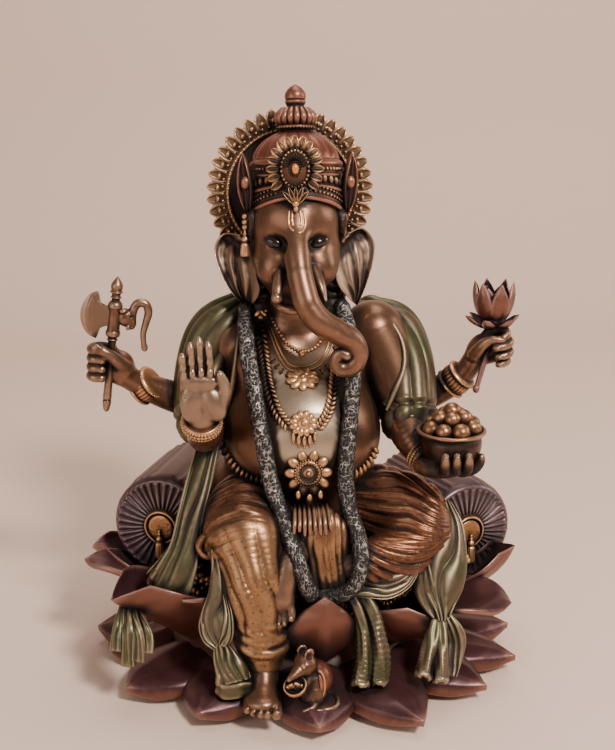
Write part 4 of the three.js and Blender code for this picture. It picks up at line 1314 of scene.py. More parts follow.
def bangles():
    profile = spline([
        (5, -5.2), (6.4, -4.9), (7.4, -4.2), (7.5, -3.4), (6.8, -2.9), (6.8, -2.3), (7.2, 0), (6.8, 2.3),
        (6.8, 2.9), (7.5, 3.4), (7.4, 4.2), (6.4, 4.9), (5, 5.2),
    ], 4)

    def ribbed(r, height, angle):
        return r + 0.38 * np.abs(np.sin(angle * 13)) * smooth(2.7, 2.2, np.abs(height)), height

    for name, at, along in (
        ("rear_right", (-68, -1, 128), (9, -4, 6.4)), ("rear_left", (73.4, -0.6, 127.6), (7.5, -4.5, 8.5)),
    ):
        points, faces = lathe(profile, 208, ribbed)
        heap = Heap().add(turned(points, along, (0, 1, 0)) + at, faces, 0.3)
        for height in (-3.8, 3.8):
            _, ring = ring_points(7.5, height, 44)
            beads(heap, turned(ring, along, (0, 1, 0)) + at, 0.42, 0.8)
        heap.piece(f"bangle_{name}_band", GOLD, "gold_trim", [f"bangle_{name}"])
    heap = Heap()
    for at, along, radius in (
        ((-43, -47.6, 124.4), (0, -0.62, 0.78), 7.9), ((52.6, -34.2, 102.8), (6, -9, -5), 7.4),
    ):
        for height, size, count in ((-1.5, 0.75, 40), (0.3, 0.95, 34), (2.0, 0.7, 40)):
            _, ring = ring_points(radius, height, count)
            beads(heap, turned(ring, along, (0, 1, 0)) + at, size, 0.6)
        band = spline([
            (radius - 2, -2.6), (radius - 0.2, -2.5), (radius + 0.1, -0.6), (radius + 0.1, 1.2),
            (radius - 0.2, 2.9), (radius - 2, 3),
        ], 4)
        points, faces = lathe(band, 80)
        heap.add(turned(points, along, (0, 1, 0)) + at, faces, 0.0)
    heap.piece("wrist_bracelets", GOLD, "gold_trim")


# ---- what the hands hold ----
def axe():
    heap = Heap()
    low, along = np.array([-85.4, -8, 119.0]), (7, 0, 55)
    shaft = spline([
        (0.3, -0.6), (1.2, 0.2), (1.75, 2.4), (1.95, 4.4), (1.6, 5.2), (1.95, 6.0), (1.8, 12), (1.75, 22),
        (1.8, 31.6), (2.5, 32.4), (1.9, 33.2), (2.6, 33.9), (3.1, 34.4), (3.2, 36), (2.8, 37), (2.75, 41.5),
        (2.8, 46), (3.2, 47), (3.1, 48.4), (2.5, 49.4), (1.8, 50), (1.8, 50.8), (2.5, 51.4), (1.9, 52),
        (2.0, 53), (2.9, 53.7), (2.3, 54.4), (2.6, 55.6), (2.5, 57), (1.5, 58.8), (0.5, 60.2), (0.15, 60.6),
    ], 4)
    points, faces = lathe(shaft, 40)
    heap.add(turned(points, along, (0, 1, 0)) + low, faces)
    edge = spline([
        (-86.6, 173.0), (-90.6, 171.2), (-94.0, 165.6), (-94.4, 159.4), (-92.0, 154.2), (-88.4, 151.9),
    ], 10)
    waist = spline([
        (-86.0, 171.6), (-85.4, 167.6), (-82.2, 165.6), (-80.4, 162), (-82.4, 158.2), (-86.0, 156.8),
        (-87.6, 153.4),
    ], 10)
    u = np.linspace(0, 1, 56)

    def pick(line):
        return np.stack([np.interp(u, np.linspace(0, 1, len(line)), line[:, k]) for k in (0, 1)], -1)

    v = np.linspace(0, 1, 18)[None, :, None]
    sheet = pick(waist)[:, None] * (1 - v) + pick(edge)[:, None] * v
    across = v[..., 0]
    thick = 1.5 * (1 - 0.55 * across) + 0.5 * bump(across, 0.72, 0.07) - 1.0 * smooth(0.78, 1.0, across)
    thick = np.maximum(thick, 0.12) * np.minimum(1, 0.25 + 4 * np.minimum(u, 1 - u))[:, None]
    front = np.stack([sheet[..., 0], -8 - thick, sheet[..., 1]], -1)
    back = np.stack([sheet[..., 0], -8 + thick, sheet[..., 1]], -1)[:, ::-1]
    points, faces = capped(np.concatenate([front, back], 1))
    heap.add(points, faces, 0.2)
    heap.piece("axe_shaft_and_blade", SKIN, "skin_bronze", ["axe"])

    clay = Clay((-80, -13, 143), (-62, -3, 170), 0.3, 2)
    clay.add(egg((-75.4, -8, 161), (3.6, 2.9, 4.0)), egg((-73, -8, 158.4), (2.4, 2.2, 3.0)), soft=1.5)
    clay.add(limb([
        [-72.6, -8, 160, 1.9], [-71.6, -8, 164.4, 1.9], [-69.4, -8, 167.2, 1.9], [-66.2, -8, 166.6, 1.85],
        [-65.2, -8, 163, 1.8], [-66.4, -8, 158.6, 1.6], [-67.8, -8, 153.6, 1.4], [-67.8, -8, 149, 1.2],
    ]), soft=0.8)
    clay.add(egg((-67.5, -8, 147.4), (1.5, 0.9, 2.0)), soft=0.5)
    clay.add(egg((-76, -10.4, 164.2), (1.7, 1.2, 1.0)), egg((-74.2, -10.6, 157.0), (1.0, 1.0, 1.3)), soft=0.3)
    for z in (165.6, 161.4):
        clay.carve(limb([[-73.6, -9.9, z, 0.3], [-70, -10.1, z + 0.8, 0.3]]), soft=0.2)
    piece("axe_hook", *clay.skin(), SKIN, "skin_bronze")


def held_lotus():
    heap = Heap()
    at = np.array([88.0, -6.5, 0])
    for count, phase, spine, width in (
        (6, 10, [(1.5, 154), (10.5, 160), (8.6, 174)], 9.4),
        (4, 40, [(1, 155), (6, 162), (4.6, 171.5)], 8.4),
    ):
        for i in range(count):
            skin, faces, face = petal_skin(
                spine, width, 1.3, 1.6, keel=0.25, rim=0.25, waist=0.35, full=0.5, point=0.8, rows=26,
                around=28,
            )
            heap.add(pointed(skin, 360 * i / count + phase, 1, at), faces, 1 - face)
    for degrees in (-95, -30, 35, 95, 165, 225):
        skin, faces, _ = petal_skin(
            [(1, 152.4), (8, 153.0), (12.4, 158.4)], 6.0, 1.2, 1.2, keel=0.2, waist=0.4, rows=22, around=24,
        )
        heap.add(pointed(skin, degrees, 1, at), faces, 0.0)
    cup = spline([(0.8, 148), (1.5, 150), (1.6, 152), (4.4, 154), (5.6, 157), (4.0, 160), (1, 161)], 4)
    points, faces = lathe(cup, 40)
    heap.add(points + at, faces)
    points, faces = sweep([
        [80.4, -12, 126.4, 1.2], [82.6, -11, 134, 1.3], [85.4, -9.5, 143, 1.3], [87.6, -7.2, 151, 1.3],
    ], None, 16)
    heap.add(points, faces)
    beads(heap, np.array([[80.2, -12.1, 126.0]]), (1.7, 1.7, 2.0))
    heap.piece("held_lotus_flower", PLUM, "petal_bronze", ["held_lotus"])


BOWL_AT = np.array([63.5, -40, 0.0])


def bowl():
    profile = spline([
        (0.5, 99.6), (6.5, 99.5), (8.6, 100.4), (11.2, 103.4), (12.8, 107.4), (13.2, 111.0), (12.9, 113),
        (13.6, 114.4), (14.8, 115.4), (15.0, 116.2), (14.2, 116.6), (12.8, 116), (11.6, 112), (8, 106),
        (0.5, 104.6),
    ], 5)
    points, faces = lathe(profile, 120)
    points = roughened(points, faces, 5.0, 8, 0.12)
    piece("bowl_body", points + BOWL_AT, faces, DARK, "skin_bronze", ["bowl"])


def sweets():
    heap = Heap()
    dome = egg_skin((10.6, 10.6, 6.6), 40, 20)
    heap.add(dome[0] + BOWL_AT + [0, 0, 112], dome[1])
    ball = ball_skin(26, 18)
    rolls = np.random.default_rng(5)
    for count, reach, height, size in ((8, 9.2, 117.2, 3.9), (5, 5.0, 121.4, 3.9), (1, 0.0, 124.6, 3.7)):
        for i in range(count):
            angle = 2 * pi * (i + 0.3) / count + 0.4 * (count == 5)
            at = BOWL_AT + [reach * cos(angle), reach * sin(angle), height + rolls.uniform(-0.6, 0.6)]
            lump = ball[0] * size * rolls.uniform(0.9, 1.08)
            lump = lump * (1 + 0.035 * lattice_noise(lump + at, 1.6, 9))[:, None]
            heap.add(lump + at, ball[1])
    heap.piece("sweets_heap", COPPER, "sweet_copper", ["sweets"])


# ---- legs and the cloth they wear ----
def path_place(path, points, up):
    """How far along a path each point lies, from 0 to 1, and its angle round the path."""
    line = spline(path, 10)
    _, out, side = frames_of(line, up)
    best = np.full(len(points), 1e9)
    along, angle = np.zeros(len(points)), np.zeros(len(points))
    for i in range(len(line) - 1):
        ab = line[i + 1] - line[i]
        h = np.clip((points - line[i]) @ ab / max(float(ab @ ab), 1e-9), 0, 1)
        off = points - line[i] - h[:, None] * ab
        far = np.linalg.norm(off, axis=1)
        near = far < best
        best[near] = far[near]
        along[near] = ((i + h) / (len(line) - 1))[near]
        angle[near] = np.arctan2(off[near] @ side[i], off[near] @ out[i])
    return along, angle


def leg_right():
    """The lowered leg: rings of cloth over the thigh, long folds down the shin, and a gathered cuff."""
    clay = Clay((-44, -80, 18), (8, 12, 94), 0.6, 9)
    clay.add(limb([[-14, -2, 68, 19], [-22, -26, 73, 20.4], [-26, -44, 73, 17.4]], 10))
    clay.add(limb([
        [-22.6, -48, 71, 14.6], [-22.4, -57, 60, 12.6], [-22.0, -60, 50, 11.6], [-20.8, -62, 40, 10.4],
    ], 10), soft=7)
    for height, lean, radius, size in (
        (38.4, -3.4, 9.0, 2.3), (34.6, -4.4, 9.6, 2.6), (30.6, -3.0, 8.8, 2.2),
    ):
        ring = []
        for i in range(17):
            a = 2 * pi * i / 16
            ring.append([
                -20 + radius * sin(a), -63.4 - radius * 0.86 * cos(a),
                height + lean * 0.5 * (1 + cos(a - 0.5)), size,
            ])
        clay.add(limb(ring, 2), soft=0.9)
    clay.add(limb([[-19.9, -63.6, 38, 8.6], [-19.8, -63.8, 30, 8.4]]), soft=2)
    points, faces = clay.skin()
    t, phi = path_place([
        [-14, -2, 68], [-21, -26, 71], [-24, -46, 69], [-23, -57, 58], [-20.4, -62, 40],
    ], points, (0, 0, 1))
    hook = 1.1 * smooth(-0.2, -1.5, phi)
    wander = 0.6 * np.sin(phi * 1.3) + hook + 0.3 * np.sin(phi * 3 + 2) + 0.35 * lattice_noise(points, 14, 2)
    rings = pleat(t * 17 + wander)
    rings *= (1 - smooth(0.44, 0.60, t - 0.10 * np.sin(phi))) * (0.75 + 0.25 * lattice_noise(points, 9, 4))
    long = pleat(phi * 9 / (2 * pi) + 0.10 * np.sin(t * 9 + phi) + 0.12 * lattice_noise(points, 16, 6) + 0.25)
    long *= smooth(0.48, 0.70, t) * smooth(35, 44, points[:, 2])
    x, _, z = points.T
    sag = np.sin(z * 0.9 + x * 0.35) * smooth(46, 40, z) * smooth(36, 40, z)
    points = moved(points, faces, 1.7 * rings + 1.0 * long + 0.5 * sag)
    shin = smooth(0.46, 0.62, t)
    piece("leg_right_cloth", points, faces, COPPER, "dhoti_copper", ["leg_right"], shin * 0.55)

    profile = spline([(6.4, 21.2), (8.0, 21.6), (8.5, 22.6), (8.7, 25), (9.1, 28), (8.6, 29.6), (6, 30.4)], 4)
    points, faces = lathe(profile, 90)
    piece(
        "leg_right_band", points + [-19.7, -64.2, 0], faces, COPPER, "dhoti_copper", (),
        0.6 + 0 * points[:, 0],
    )
    knot = Heap()
    for path in (
        [
            [-34, -48, 80, 1.2], [-41.6, -46, 74, 2.0], [-45.0, -45, 68.6, 2.2], [-42.4, -47.6, 65.2, 1.9],
            [-36.6, -51, 66.4, 1.4],
        ],
        [[-33, -52, 74, 1.0], [-38.6, -50, 69.6, 1.5], [-40.4, -50, 66.8, 1.5], [-36.6, -52.6, 63.6, 1.2]],
    ):
        knot.add(*sweep(path, None, 20, 10))
    knot.piece("leg_right_knot", COPPER, "dhoti_copper")
    foot_right()


def foot_right():
    clay = Clay((-32, -92, 6), (-8, -54, 30), 0.4, 3)
    clay.add(limb([[-19.6, -63.6, 29, 6.4], [-19.6, -64.6, 21, 6.2], [-19.6, -66.4, 16, 6.4]], 10))
    clay.add(limb([[-19.6, -64, 24, 6.0], [-19.7, -69, 18, 5.8], [-19.9, -75, 13.6, 4.6]], 10), soft=2)
    clay.add(egg((-20.4, -76.4, 12.6), (8.0, 9.6, 4.2), (-6, 0, 0)), soft=3)
    clay.add(egg((-19.8, -66, 12.6), (6.2, 6, 5.4)), soft=3)
    for x, y, size in (
        (-27.0, -81.6, 1.65), (-24.4, -83.8, 1.75), (-21.7, -85.0, 1.8), (-18.9, -85.6, 1.85),
        (-15.2, -85.6, 2.5),
    ):
        clay.add(limb([
            [x * 0.9 - 2.0, -77.5, 12.6, size + 0.5], [x, y + 2.4, 11.6, size], [x, y, 10.6, size * 0.96],
        ]), soft=0.5)
        nail = egg((x, y - size * 0.55, 11.4 + size * 0.25), (size * 0.6, size * 0.55, size * 0.45))
        clay.add(nail, soft=0.15)
    piece("foot_right_skin", *clay.skin(), SKIN, "skin_bronze")


def leg_left():
    """The folded leg: swags of cloth that gather at the lap and again at the knee."""
    clay = Clay((-6, -66, 38), (82, 22, 96), 0.65, 10)
    clay.add(limb([[14, -2, 68, 19], [34, -14, 72, 19.4], [47, -24, 72, 17.6], [53, -31, 70, 14.2]], 10))
    clay.add(limb(
        [[53, -37, 65, 12.4], [41, -45, 60, 12.2], [24, -49, 59, 10.8], [11, -45, 61, 7.0]], 10,
    ), soft=10)
    points, faces = clay.skin()
    x, y, z = points.T
    along = np.clip((x - 14) / 52, 0, 1)
    level = z + 0.27 * (y + 45)
    sag = (83 - 10 * along - level) / (0.30 + 2.6 * along * (1 - along))
    wander = 0.30 * lattice_noise(points, 15, 12)
    front = smooth(-10, -24, y)
    fade = smooth(0.0, 0.16, along) * smooth(1.0, 0.84, along)
    depth = 0.55 + 0.9 * lattice_noise(points, 11, 13)
    fold = 1.5 * depth * pleat(sag / 6.6 + 1.6 * wander) + 0.4 * pleat(sag / 2.9 + 2 * wander)
    back = pleat(x / 7 + wander) * 0.6 * (1 - front)
    points = moved(points, faces, fold * front * fade + back)
    piece("leg_left_cloth", points, faces, COPPER, "dhoti_copper", ["leg_left"])
    foot_left()


def foot_left():
    clay = Clay((-26, -76, 34), (10, -46, 80), 0.4, 3)
    clay.add(limb([
        [-1, -50, 72, 5.6], [-6.4, -56.0, 66.6, 6.6], [-9.6, -59.6, 59.6, 6.6], [-12.2, -62.4, 52, 5.8],
    ], 10))
    clay.add(egg((-12.2, -64, 50), (6.2, 3.8, 6.6), (0, 22, 0)), soft=2)
    toes = (
        (-17.6, -65.6, 45.4, 1.5), (-15.6, -66.6, 43.0, 1.5), (-13.2, -67.2, 41.6, 1.55),
        (-10.8, -67.2, 41.8, 1.6), (-8.0, -66.6, 43.8, 2.0),
    )
    for x, y, z, size in toes:
        root = [x * 0.8 - 2.2, -64.0, 49.0, size + 0.5]
        clay.add(limb([root, [x + 0.3, y + 0.8, z + 2.2, size + 0.15], [x, y, z, size]]), soft=0.45)
        clay.add(egg((x, y - size * 0.8, z + 0.2), (size * 0.6, size * 0.4, size * 0.6)), soft=0.15)
    points, faces = clay.skin()
    piece("foot_left_skin", points, faces, SKIN, "skin_bronze", (), 0.15 + 0 * points[:, 0])


def apron():
    """The pleated cloth that falls between the knees, with a short golden frill above it."""
    clay = Clay((-16, -68, 38), (30, -30, 98), 0.55, 5)
    clay.add(egg((6, -47.5, 67), (15, 11, 20), (12, 0, 0)), egg((7, -53, 54.5), (13, 7, 10)), soft=5)
    points, faces = clay.skin()
    front = smooth(-40, -46, points[:, 1])
    x, z = points[:, 0], points[:, 2]
    wander = 0.3 * lattice_noise(points, 9, 14)
    fold = pleat((x - 4 + 0.10 * (z - 60)) / 3.3 + 0.25 * np.sin(z * 0.12) + wander)
    fine = pleat((x - 4) / 2.2) * bump(z, 74, 6)
    points = moved(points, faces, front * (0.6 * fold + 0.2 * fine))
    gold = smooth(14, 6, np.abs(x - 6)) * front * (0.5 + 0.5 * lattice_noise(points, 7, 15))
    piece("apron_cloth", points, faces, COPPER, "dhoti_copper", ["apron"], gold)
    heap = Heap()
    for i in range(8):
        x = -4.6 + 1.9 * i
        lean = (x - 2) * 0.06
        path = [[x, -49.0, 87, 0.6], [x + lean, -53.2, 85.6, 0.9], [x + 2 * lean, -57.4, 82, 1.0],
                [x + 3 * lean, -58.6, 78.4 + 1.2 * sin(i * 2), 0.7]]
        heap.add(*sweep(path, None, 14, 6))
    heap.piece("apron_frill", DARK, "dhoti_copper")


# ---- cloth strips ----
def cloth_strip(path, folds, depth, thick=1.0, phase=0.0, around=96, up=(0, -1, 0), flare=0.0):
    """A hanging strip of folded cloth: path rows are [x, y, z, half width]; folds run along it."""

    def section(t, angle, radius):
        across = np.cos(angle)
        face = np.sign(np.sin(angle)) * np.abs(np.sin(angle)) ** 0.35
        drift = 0.35 * np.sin(across * 2.6 + phase * 9 + t * 4)
        drift = drift + 0.25 * np.sin(t * 7 + phase) * (1 - np.abs(across))
        swell = 0.75 + 0.35 * np.sin(across * 4 + phase * 5 + t * 3)
        wave = pleat(folds * across / 2 + phase + drift) * swell
        body = (thick + 0.18 * radius) * np.sqrt(np.maximum(1 - across**2, 0.02)) ** 0.6
        return radius * across, face * body + depth * wave * (np.sin(angle) > -0.2) * (1 + flare * t)

    return sweep(path, section, around, 14, up, round_ends=False)


def rolled_end(heap, path, ring_from=0.55):
    """A tube of rolled cloth with wrinkle rings near its open foot."""
    wrinkles = 19.8  # rings over the whole length, seen only near the foot

    def section(t, angle, radius):
        wrap = 0.10 * np.sin(angle * 3 + t * 5) + 0.07 * np.sin(angle * 5 - t * 9)
        ribs = 0.06 * np.sin(2 * pi * wrinkles * t + 1.2 * np.sin(angle))
        ribs = ribs * smooth(ring_from - 0.2, ring_from, t)
        size = radius * (1 + wrap + ribs)
        return size * np.cos(angle), size * np.sin(angle)

    heap.add(*sweep(path, section, 40, 16, round_ends=False))
    end, before = np.array(path[-1][:3], float), np.array(path[-2][:3], float)
    down = (end - before) / np.linalg.norm(end - before)
    size = path[-1][3]
    lip = spline([
        (size * 0.45, -1.8), (size * 0.5, 0.3), (size * 0.8, 0.7), (size * 1.02, 0.3), (size * 1.05, -0.8),
        (size * 0.9, -2.0),
    ], 4)

    def ragged(r, height, angle):
        return r, height + 0.4 * np.sin(angle * 4 + end[0]) + 0.2 * np.sin(angle * 9)

    points, faces = lathe(lip, 48, ragged)
    heap.add(turned(points, down, (0, 1, 0)) + end, faces)


def shawls():
    def draped(count, depth, lean):
        def section(t, angle, radius):
            fold = pleat(angle * count / (2 * pi) + lean * t + 0.2 * np.sin(t * 6 + angle))
            cuff = 0.10 * np.sin(t * 60 + angle * 2) * smooth(0.78, 0.9, t)
            size = radius + depth * fold + radius * cuff
            return size * np.cos(angle), size * np.sin(angle)
        return section

    path = [
        [-23, 8, 163, 7], [-31, 7, 155, 11.6], [-37, 6, 147, 13.0], [-41.4, 3, 135, 12.6],
        [-43.2, -3, 122, 12.2], [-43.4, -9, 113, 10.8],
    ]
    points, faces = sweep(path, draped(9, 0.95, 1.2), 160, 14, (0, -1, 0))
    piece("shawl_right_cloth", points, faces, GREEN, "shawl_green", ["shawl_right"])
    path = [
        [36, 16, 156, 8], [46, 10, 150, 11], [49.4, 0.6, 138, 12.6], [49.4, -8.6, 124, 13.2],
        [48.6, -15, 114.5, 12.4],
    ]
    points, faces = sweep(path, draped(8, 0.95, -1.2), 160, 14, (0, -1, 0))
    piece("shawl_left_cloth", points, faces, GREEN, "shawl_green", ["shawl_left"])
    heap = Heap()
    for path in (
        [
            [35, 4, 162, 0.8], [40.5, -6, 158, 0.9], [46.0, -11.4, 148.8, 0.9], [46.4, -16.4, 138.6, 1.0],
            [42.0, -20.6, 128.6, 1.1], [38.4, -21.6, 120.3, 0.9],
        ],
        [
            [-22.6, -8, 164, 0.9], [-26, -14, 153, 1.0], [-28, -17, 141, 1.1], [-30, -17, 129, 1.2],
            [-33, -16, 117, 1.0],
        ],
    ):
        heap.add(*sweep(path, None, 14, 10), 0.9)
    for i in range(5):
        z = 121 - 2.5 * i
        path = [[38 + 0.4 * i, -18 - 0.8 * i, z + 1, 1.2], [46, -25 - 0.7 * i, z - 3, 1.7],
                [54.6, -22.4 - 0.5 * i, z - 2.4, 1.6], [61, -12, z + 1, 1.1]]
        heap.add(*sweep(path, None, 16, 10), 0.2)
    heap.piece("shawl_hems", GREEN, "shawl_green")


def drapes():
    heap = Heap()
    strip = [
        [-38.0, -20, 112, 3.4], [-41.6, -25, 103, 5.2], [-45, -30, 92, 5.8], [-48.6, -36, 80, 5.8],
        [-51.4, -41, 68, 6.6], [-55.4, -45, 58.4, 9.0], [-60.0, -45.6, 50.0, 10.8],
        [-63.4, -42.4, 46.0, 10.4],
    ]
    points, faces = cloth_strip(strip, 3.4, 1.0, 0.9, 0.2, flare=0.9, up=(-0.3, -1, 0.35))
    heap.add(points, faces)
    for side in (-1, 1):
        edge = [[x + side * w * 0.93, y - 0.4, z, 0.6] for x, y, z, w in strip[:6]]
        heap.add(*sweep(edge, None, 12, 10), 0.8)
    heap.piece("drape_right_cloth", GREEN, "shawl_green", ["drape_right"])

    heap = Heap()
    for i, (x, y, foot, half) in enumerate((
        (-80.6, -55, 27.6, 3.1), (-76.0, -58.5, 22.4, 3.0), (-71.6, -60, 25.0, 2.9),
        (-67.6, -59.4, 28.4, 2.6),
    )):
        top = [-75.4 + 2.0 * (i - 1.5), -44.5, 42.0 - 0.5 * i, 2.2]
        path = [
            top, [x * 0.6 + top[0] * 0.4, y + 3.5, 38.6, half * 0.9], [x, y - 0.5, 34, half],
            [x - 0.4, y - 3.4, foot, half * 1.12],
        ]
        points, faces = cloth_strip(path, 3, 0.55, 0.9, 0.3 * i, around=64, up=(-0.5, -1, 0))
        heap.add(points, faces)
    heap.piece("drape_right_pleats", GREEN, "shawl_green", ["drape_right_end"])

    heap = Heap()
    for path, folds, depth, phase in (
        ([
            [-38.6, -53, 71, 1.8], [-37.4, -57, 62, 3.2], [-37.2, -61, 53, 5.0], [-38.4, -65, 44.5, 7.0],
            [-37.8, -67.5, 37.6, 5.8], [-36.6, -68.5, 33.6, 3.0],
        ], 2.6, 1.1, 0.1),
        ([
            [-35.2, -61, 54, 1.2], [-33.8, -66.5, 46, 2.2], [-34.4, -69.8, 39.4, 2.6],
            [-36.8, -70, 34.6, 1.8],
        ], 2.2, 0.8, 0.6),
        ([
            [-41.2, -60, 52, 1.0], [-44.2, -64.6, 43, 2.0], [-43.0, -67.4, 36.6, 2.2],
            [-38.8, -69, 32.4, 1.4],
        ], 2, 0.7, 0.9),
        ([
            [-37.4, -68.6, 35, 2.8], [-35.6, -70.4, 29, 5.2], [-33.2, -72.4, 23.6, 7.0],
            [-32.2, -73.6, 19.4, 7.4],
        ], 4.4, 0.9, 0.35),
    ):
        heap.add(*cloth_strip(path, folds, depth, 1.2, phase))
    hem = spline([(5.6, -2.6), (7.4, -2.4), (7.9, -1.4), (7.4, 0), (7.7, 1.6), (7.2, 2.4), (5.4, 2.6)], 4)

    def wavy(radius, height, angle):
        return radius + 0.25 * np.sin(angle * 7), height + 0.35 * np.sin(angle * 3)

    points, faces = lathe(hem, 72, wavy)
    heap.add(squeezed(points * [1, 1, 1.3], 0.55) + [-32.0, -73.2, 16.6], faces)
    heap.piece("drape_middle_cloth", GREEN, "shawl_green")

    heap = Heap()
    points, faces = cloth_strip([
        [63, -32, 80, 3.0], [63, -40, 71, 7.6], [60.4, -48, 60, 10.4], [58.6, -54, 49.6, 9.4],
        [58.0, -59, 41, 4.6], [57.4, -61.4, 36.6, 2.6],
    ], 3.2, 1.2, 1.3, 0.2, around=128)
    heap.add(points, faces, 0.15)
    points, faces = cloth_strip([
        [50, -48, 64, 3.0], [50.4, -52.6, 55, 5.4], [52.6, -56, 46, 5.0], [56.4, -60, 38, 2.8],
    ], 3, 0.9, 1.2, 0.6)
    heap.add(points, faces, 0.0)
    rolled_end(
        heap, [[55.6, -60, 37, 2.4], [52.6, -65, 30, 3.2], [49.4, -70, 22, 3.6], [47.8, -73, 17.4, 3.9]],
    )
    rolled_end(
        heap, [[57.6, -61, 37, 2.2], [56.6, -66, 29, 2.9], [55.6, -71, 21, 3.3], [54.8, -74, 15.6, 3.5]],
    )
    points, faces = cloth_strip([
        [59.4, -60, 39, 2.0], [62.0, -62, 33, 4.4], [63.2, -63, 27, 4.8], [61.4, -67, 20, 4.0],
        [59.8, -70, 15.8, 3.0],
    ], 2.4, 0.9, 1.1, 0.5)
    heap.add(points, faces, 0.1)
    heap.piece("drape_left_cloth", GREEN, "shawl_green", ["drape_left"])

    heap = Heap()
    rolled_end(heap, [
        [17.0, -58, 53, 1.9], [20.6, -62, 46, 2.3], [23.0, -66, 36, 2.7], [22.8, -70, 25, 3.5],
        [20.8, -74, 15.6, 3.9],
    ], ring_from=0.6)
    rolled_end(heap, [
        [21.6, -56, 53, 2.6], [26.0, -60.6, 46, 3.2], [28.6, -64.6, 37, 3.6], [29.8, -68.6, 26, 4.1],
        [28.8, -72, 15.0, 3.8],
    ], ring_from=0.5)
    heap.piece("drape_front_rolls", GREEN, "shawl_green", ["drape_front"])

    heap = Heap()
    for path, folds, tint in (
        ([
            [22, -56, 55, 1.6], [30, -58.5, 53.6, 3.2], [38, -57.5, 55.4, 3.8], [44, -55.4, 58.0, 3.0],
            [48, -53, 61.4, 1.4],
        ], 3, 0.1),
        ([
            [12, -60, 50.6, 1.4], [24, -61, 51.4, 2.2], [34, -60.4, 50.6, 2.6], [42, -58, 53.0, 2.0],
            [47, -55, 57.4, 1.0],
        ], 2, 0.7),
    ):
        heap.add(*cloth_strip(path, folds, 0.8, 0.9, 0.3, around=72, up=(0.3, -1, 0.4)), tint)
    heap.piece("lap_hems", GREEN, "shawl_green")


def stamens():
    """Small golden seed clusters seen between the petals and the cloth."""
    heap = Heap()
    for at, spread, count in (((39, -45, 45.5), (7.5, 3, 3.6), 26), ((72, -26, 50), (4, 3, 4.6), 14)):
        turn = np.arange(count) * 2.4
        reach = np.sqrt((np.arange(count) + 0.5) / count)
        spots = np.stack([reach * np.cos(turn), -np.sqrt(1 - 0.9 * reach**2), reach * np.sin(turn)], 1)
        beads(heap, spots * spread + at, (1.1, 1.3, 1.5), 0.3)
    heap.piece("stamens", GOLD, "gold_trim")


# ---- garlands ----
GARLAND_RIGHT = [
    [-22.6, -9, 163.5], [-23.2, -18, 156.5], [-22.8, -26, 148.5], [-21.4, -33, 138], [-19.6, -38.6, 126.5],
    [-17.6, -43, 113.5], [-14.8, -46.4, 98.5], [-10.2, -52, 83.4], [-5.0, -61, 69.4], [-1.4, -64.4, 57.8],
    [1.4, -63.6, 52.6],
]
GARLAND_LEFT = [
    [19, -12, 165], [21, -20, 156.5], [22, -27, 148], [21.4, -33.6, 136.5], [20, -38.6, 124],
    [18.2, -42.6, 110], [17.2, -45.6, 97], [18.4, -50, 85], [21.6, -53.6, 75.4], [22.4, -58, 66.8],
    [21.6, -60.5, 60], [18.6, -61.4, 54], [12.5, -60.6, 50.4], [5.6, -60, 49.6],
]


def garlands():
    """Thick ropes of tiny silvered florets: thin bright crests over a black core."""
    for name, path in (("garland_right", GARLAND_RIGHT), ("garland_left", GARLAND_LEFT)):
        points, faces = sweep([[*p, 3.75] for p in path], None, 88, 44, (0, -1, 0))
        broad = 1 - 3.2 * np.abs(lattice_noise(points, 1.5, 31))
        fine = 0.8 - 3.0 * np.abs(lattice_noise(points, 1.0, 32))
        crest = np.clip(np.maximum(broad, fine), 0, 1)
        points = moved(points, faces, 0.55 * crest + 0.3 * lattice_noise(points, 4.0, 33))
        tint = smooth(0.5, 0.95, crest)
        piece(
            f"{name}_rope", points, faces, SILVER, "garland_dark", [name], tint,
            0.85 * smooth(0.65, 0.2, crest),
        )


# ---- jewellery laid on the body ----
def tree_of(obj):
    vertices = [vertex.co / MM for vertex in obj.data.vertices]
    return BVHTree.FromPolygons(vertices, [tuple(face.vertices) for face in obj.data.polygons])


def lay_on(tree, spots, lift):
    """Points on the body's front under each [x, z], and the way its surface faces."""
    at, facing = [], []
    for x, z in spots:
        hit, normal, _, _ = tree.ray_cast(Vector((x, -120, z)), Vector((0, 1, 0)))
        if hit is None:
            hit, normal = Vector((x, -18, z)), Vector((0, -1, 0))
        normal = normal if normal.y < 0 else -normal
        at.append(np.array(hit + normal * lift))
        facing.append(np.array(normal))
    return np.array(at), np.array(facing)


def along_line(path, spacing):
    """Evenly spaced spots along a smooth [x, z] line."""
    line = spline(path, 24)
    run = np.concatenate([[0], np.cumsum(np.linalg.norm(np.diff(line, axis=0), axis=1))])
    marks = np.arange(0, run[-1], spacing)
    return np.stack([np.interp(marks, run, line[:, k]) for k in (0, 1)], 1)


def flower(heap, at, facing, petals, reach, size, height, boss, tint=0.5):
    """A round boss in a ring of plump petals, laid flat against a surface."""
    for i in range(petals):
        angle = 2 * pi * (i + 0.5) / petals
        points, faces = egg_skin((size * 0.43, height, size * 0.62), 20, 12)
        up = np.array([sin(angle), 0, cos(angle)])
        up = up - facing * float(up @ facing)
        heap.add(turned(points, up, -facing) + at + up * (reach + size * 0.4), faces, tint)
    dome = egg_skin((boss, boss, height * 1.1), 26, 14)
    heap.add(turned(dome[0], facing, (0, 0, 1)) + at + facing * height * 0.3, dome[1], tint)
    angle = 2 * pi * np.arange(petals * 2) / (petals * 2)
    ring = np.stack([boss * 1.12 * np.sin(angle), boss * 1.12 * np.cos(angle), 0 * angle + height * 0.4], 1)
    beads(heap, turned(ring, facing, (0, 0, 1)) + at, height * 0.36, tint)
    cap = egg_skin((boss * 0.42, boss * 0.42, boss * 0.5), 18, 10)
    heap.add(turned(cap[0], facing, (0, 0, 1)) + at + facing * height * 1.15, cap[1], tint)


